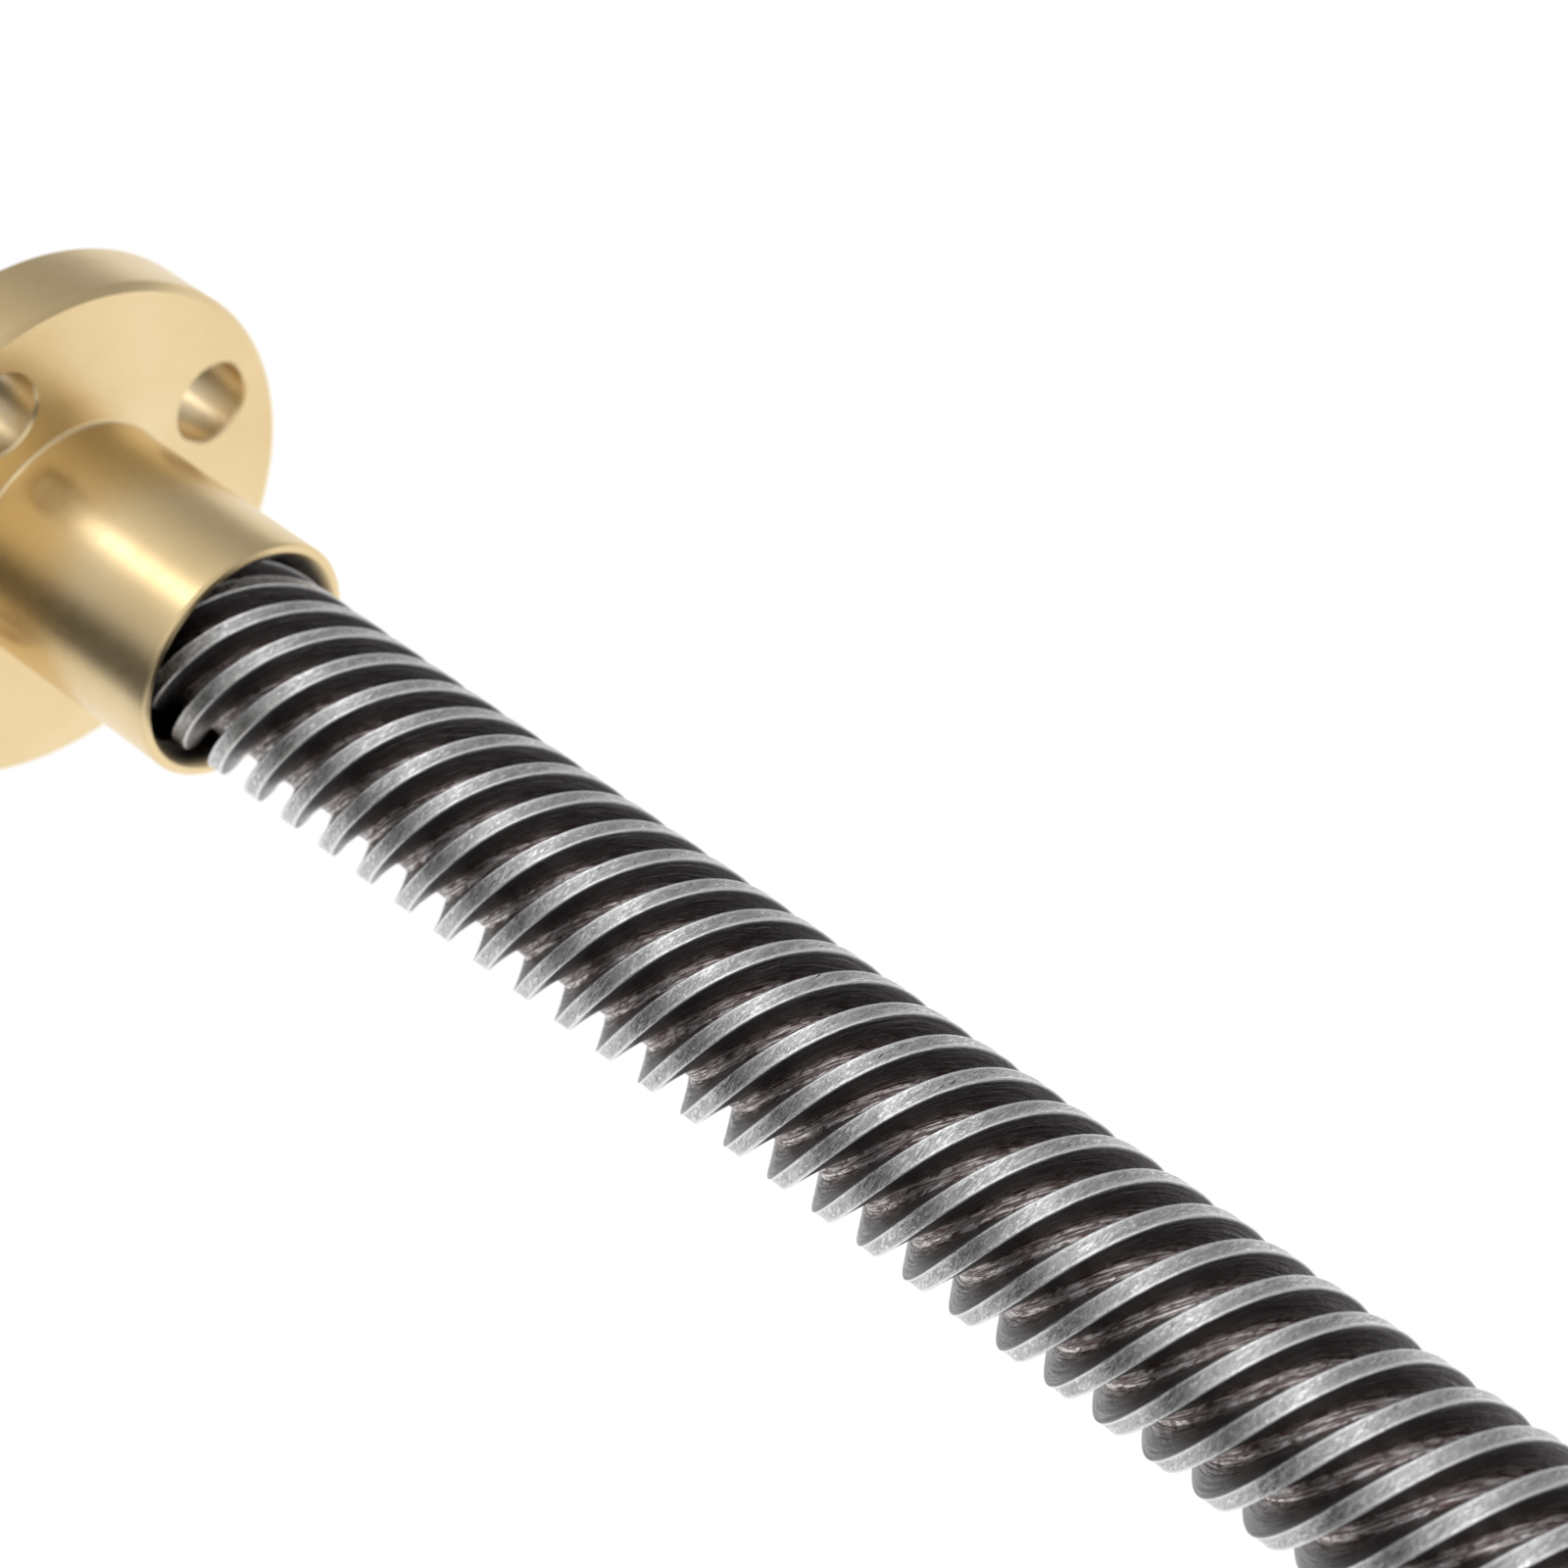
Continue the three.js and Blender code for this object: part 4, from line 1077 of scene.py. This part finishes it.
# CAD pieces that stay, inside the motor
cad = frame["nodes"]
plain("enamelled_copper", (0.50, 0.18, 0.07), vary=0.06, rough=0.3, metallic=0.85,
      scale=6.0, stretch=(4.0, 1, 1), bump=0.4,
      depth=0.08).use(*[cad[f"winding_{k}"] for k in range(1, 9)])
plain("bobbin_nylon", (0.76, 0.74, 0.66), vary=0.03, rough=0.5, metallic=0.0,
      scale=1.5).use(cad["front_bobbin"], cad["rear_bobbin"])
plain("ground_rotor_steel", (0.34, 0.34, 0.35), vary=0.05, rough=0.33, metallic=1.0,
      scale=3.0, stretch=(6.0, 1, 1)).use(cad["rotor_cup_front"], cad["rotor_cup_rear"])
plain("sintered_magnet", (0.10, 0.10, 0.11), vary=0.02, rough=0.45,
      metallic=0.7).use(cad["rotor_magnet"])
plain("spacer_brass", (0.70, 0.55, 0.28), vary=0.04, rough=0.3, metallic=1.0,
      scale=3.0).use(cad["rotor_spacer_front"], cad["rotor_spacer_rear"])
pressed_steel.use(cad["front_bearing_cage"], cad["rear_bearing_cage"])
plain("green_board", (0.02, 0.16, 0.06), vary=0.01, rough=0.35,
      metallic=0.0).use(cad["terminal_board"])


# ------------------------------------------------------------------ floor and surroundings
FLOOR_HALF = 3.0          # metres
FLOOR_GAP = 0.00005       # metres, below the lowest CAD point
# what the metal sees of the floor, across y = -0.3 to 0.3 m: a dark card in front (-Y),
# bright under the part
FLOOR_GLOW = [(0.0, 0.08), (0.36, 0.08), (0.395, 0.28), (0.43, 0.98), (0.50, 1.14),
              (0.60, 1.06), (1.0, 0.95)]
# what the metal sees of the sky: (degrees in the YZ plane from +Y towards +Z, brightness)
SKY = [(-180, 0.12), (-150, 0.80), (-90, 1.0), (-20, 1.0), (-3, 0.9), (8, 0.44), (30, 0.40),
       (52, 0.58), (75, 0.84), (105, 0.95), (125, 0.78), (149, 0.64), (160, 0.26),
       (169, 0.08), (180, 0.06)]


def build_floor():
    s = FLOOR_HALF
    mesh = bpy.data.meshes.new("floor")
    mesh.from_pydata([(-s, -s, 0), (s, -s, 0), (s, s, 0), (-s, s, 0)], [], [[0, 1, 2, 3]])
    floor = bpy.data.objects.new("floor", mesh)
    bpy.context.scene.collection.objects.link(floor)
    floor.location.z = CAD_LO.z - FLOOR_GAP

    material = bpy.data.materials.new("pale_floor")
    g = Graph(material)
    output = g.node("ShaderNodeOutputMaterial")
    diffuse = g.filled("ShaderNodeBsdfDiffuse", {"Color": rgba(0.42)})
    lift = g.filled("ShaderNodeEmission", {"Color": rgba(1), "Strength": 0.80})
    seen = g.filled("ShaderNodeAddShader", {0: diffuse.outputs[0], 1: lift.outputs[0]})
    y = g.separate(g.node("ShaderNodeNewGeometry").outputs["Position"])[1]
    glow = g.ramp(g.remap(y, (-0.3, 0.3), (0.0, 1.0)), FLOOR_GLOW)
    reflected = g.filled("ShaderNodeEmission", {"Color": glow})
    g.split_rays(output, camera=seen, others=reflected)
    mesh.materials.append(material)


def build_world():
    world = bpy.data.worlds.new("studio")
    bpy.context.scene.world = world
    g = Graph(world)
    output = g.node("ShaderNodeOutputWorld")
    backdrop = g.filled("ShaderNodeBackground", {"Color": rgba(1), "Strength": 1.05})
    _, y, z = g.separate(g.node("ShaderNodeTexCoord").outputs["Generated"])
    turn = g.remap(g.math("ARCTAN2", z, y), (-math.pi, math.pi), (0.0, 1.0))
    stops = [((degrees + 180) / 360, (v, v, v * 1.01)) for degrees, v in SKY]
    sky = g.filled("ShaderNodeBackground", {"Color": g.ramp(turn, stops), "Strength": 1.0})
    g.split_rays(output, camera=backdrop, others=sky)


build_floor()
build_world()


# ------------------------------------------------------------------ lights
def softbox(name, offset, length, width, radiance):
    """An area light with its length nearest to X, aimed at the middle of the screw. Metres."""
    target = Vector((FACE_X + 0.07, 0, AXIS_Z))
    light = bpy.data.lights.new(name, "AREA")
    light.shape = "RECTANGLE"
    light.size = length
    light.size_y = width
    light.energy = math.pi * length * width * radiance
    ob = bpy.data.objects.new(name, light)
    bpy.context.scene.collection.objects.link(ob)
    ob.location = target + Vector(offset)
    ob.visible_camera = False
    direction = (target - ob.location).normalized()
    side = direction.cross(Vector((1, 0, 0))).normalized()
    along = side.cross(direction)
    ob.rotation_mode = "QUATERNION"
    ob.rotation_quaternion = Matrix((along, -side, -direction)).transposed().to_quaternion()


softbox("strip", offset=(-0.26, -0.125, 0.66), length=0.75, width=0.16, radiance=2.15)
softbox("fill", offset=(0.55, -0.55, 0.45), length=0.5, width=0.5, radiance=0.35)

# ------------------------------------------------------------------ camera
CAMERA_OFFSET = Vector((65.6117, -44.7496, 86.8168))      # mm from the nut's front end
CAMERA_AIM = Vector((-0.41124, 0.47888, -0.77560))
FOCUS_OFFSET = Vector((38, 0, 0))                         # mm from the nut's front end


def build_camera():
    scene = bpy.context.scene
    nut_end = Vector((nut_hi.x, 0, AXIS_Z))
    lens = bpy.data.cameras.new("camera")
    camera = bpy.data.objects.new("camera", lens)
    scene.collection.objects.link(camera)
    scene.camera = camera
    lens.sensor_width = 36.0
    lens.lens = 69.477
    lens.clip_start = 0.005
    lens.clip_end = 20.0
    camera.location = nut_end + CAMERA_OFFSET * MM
    camera.rotation_mode = "QUATERNION"
    camera.rotation_quaternion = CAMERA_AIM.to_track_quat("-Z", "Y")

    focus = bpy.data.objects.new("focus", None)
    scene.collection.objects.link(focus)
    focus.location = nut_end + FOCUS_OFFSET * MM
    lens.dof.use_dof = True
    lens.dof.focus_object = focus
    lens.dof.aperture_fstop = 60.0


build_camera()
bpy.context.scene.view_settings.view_transform = "Standard"
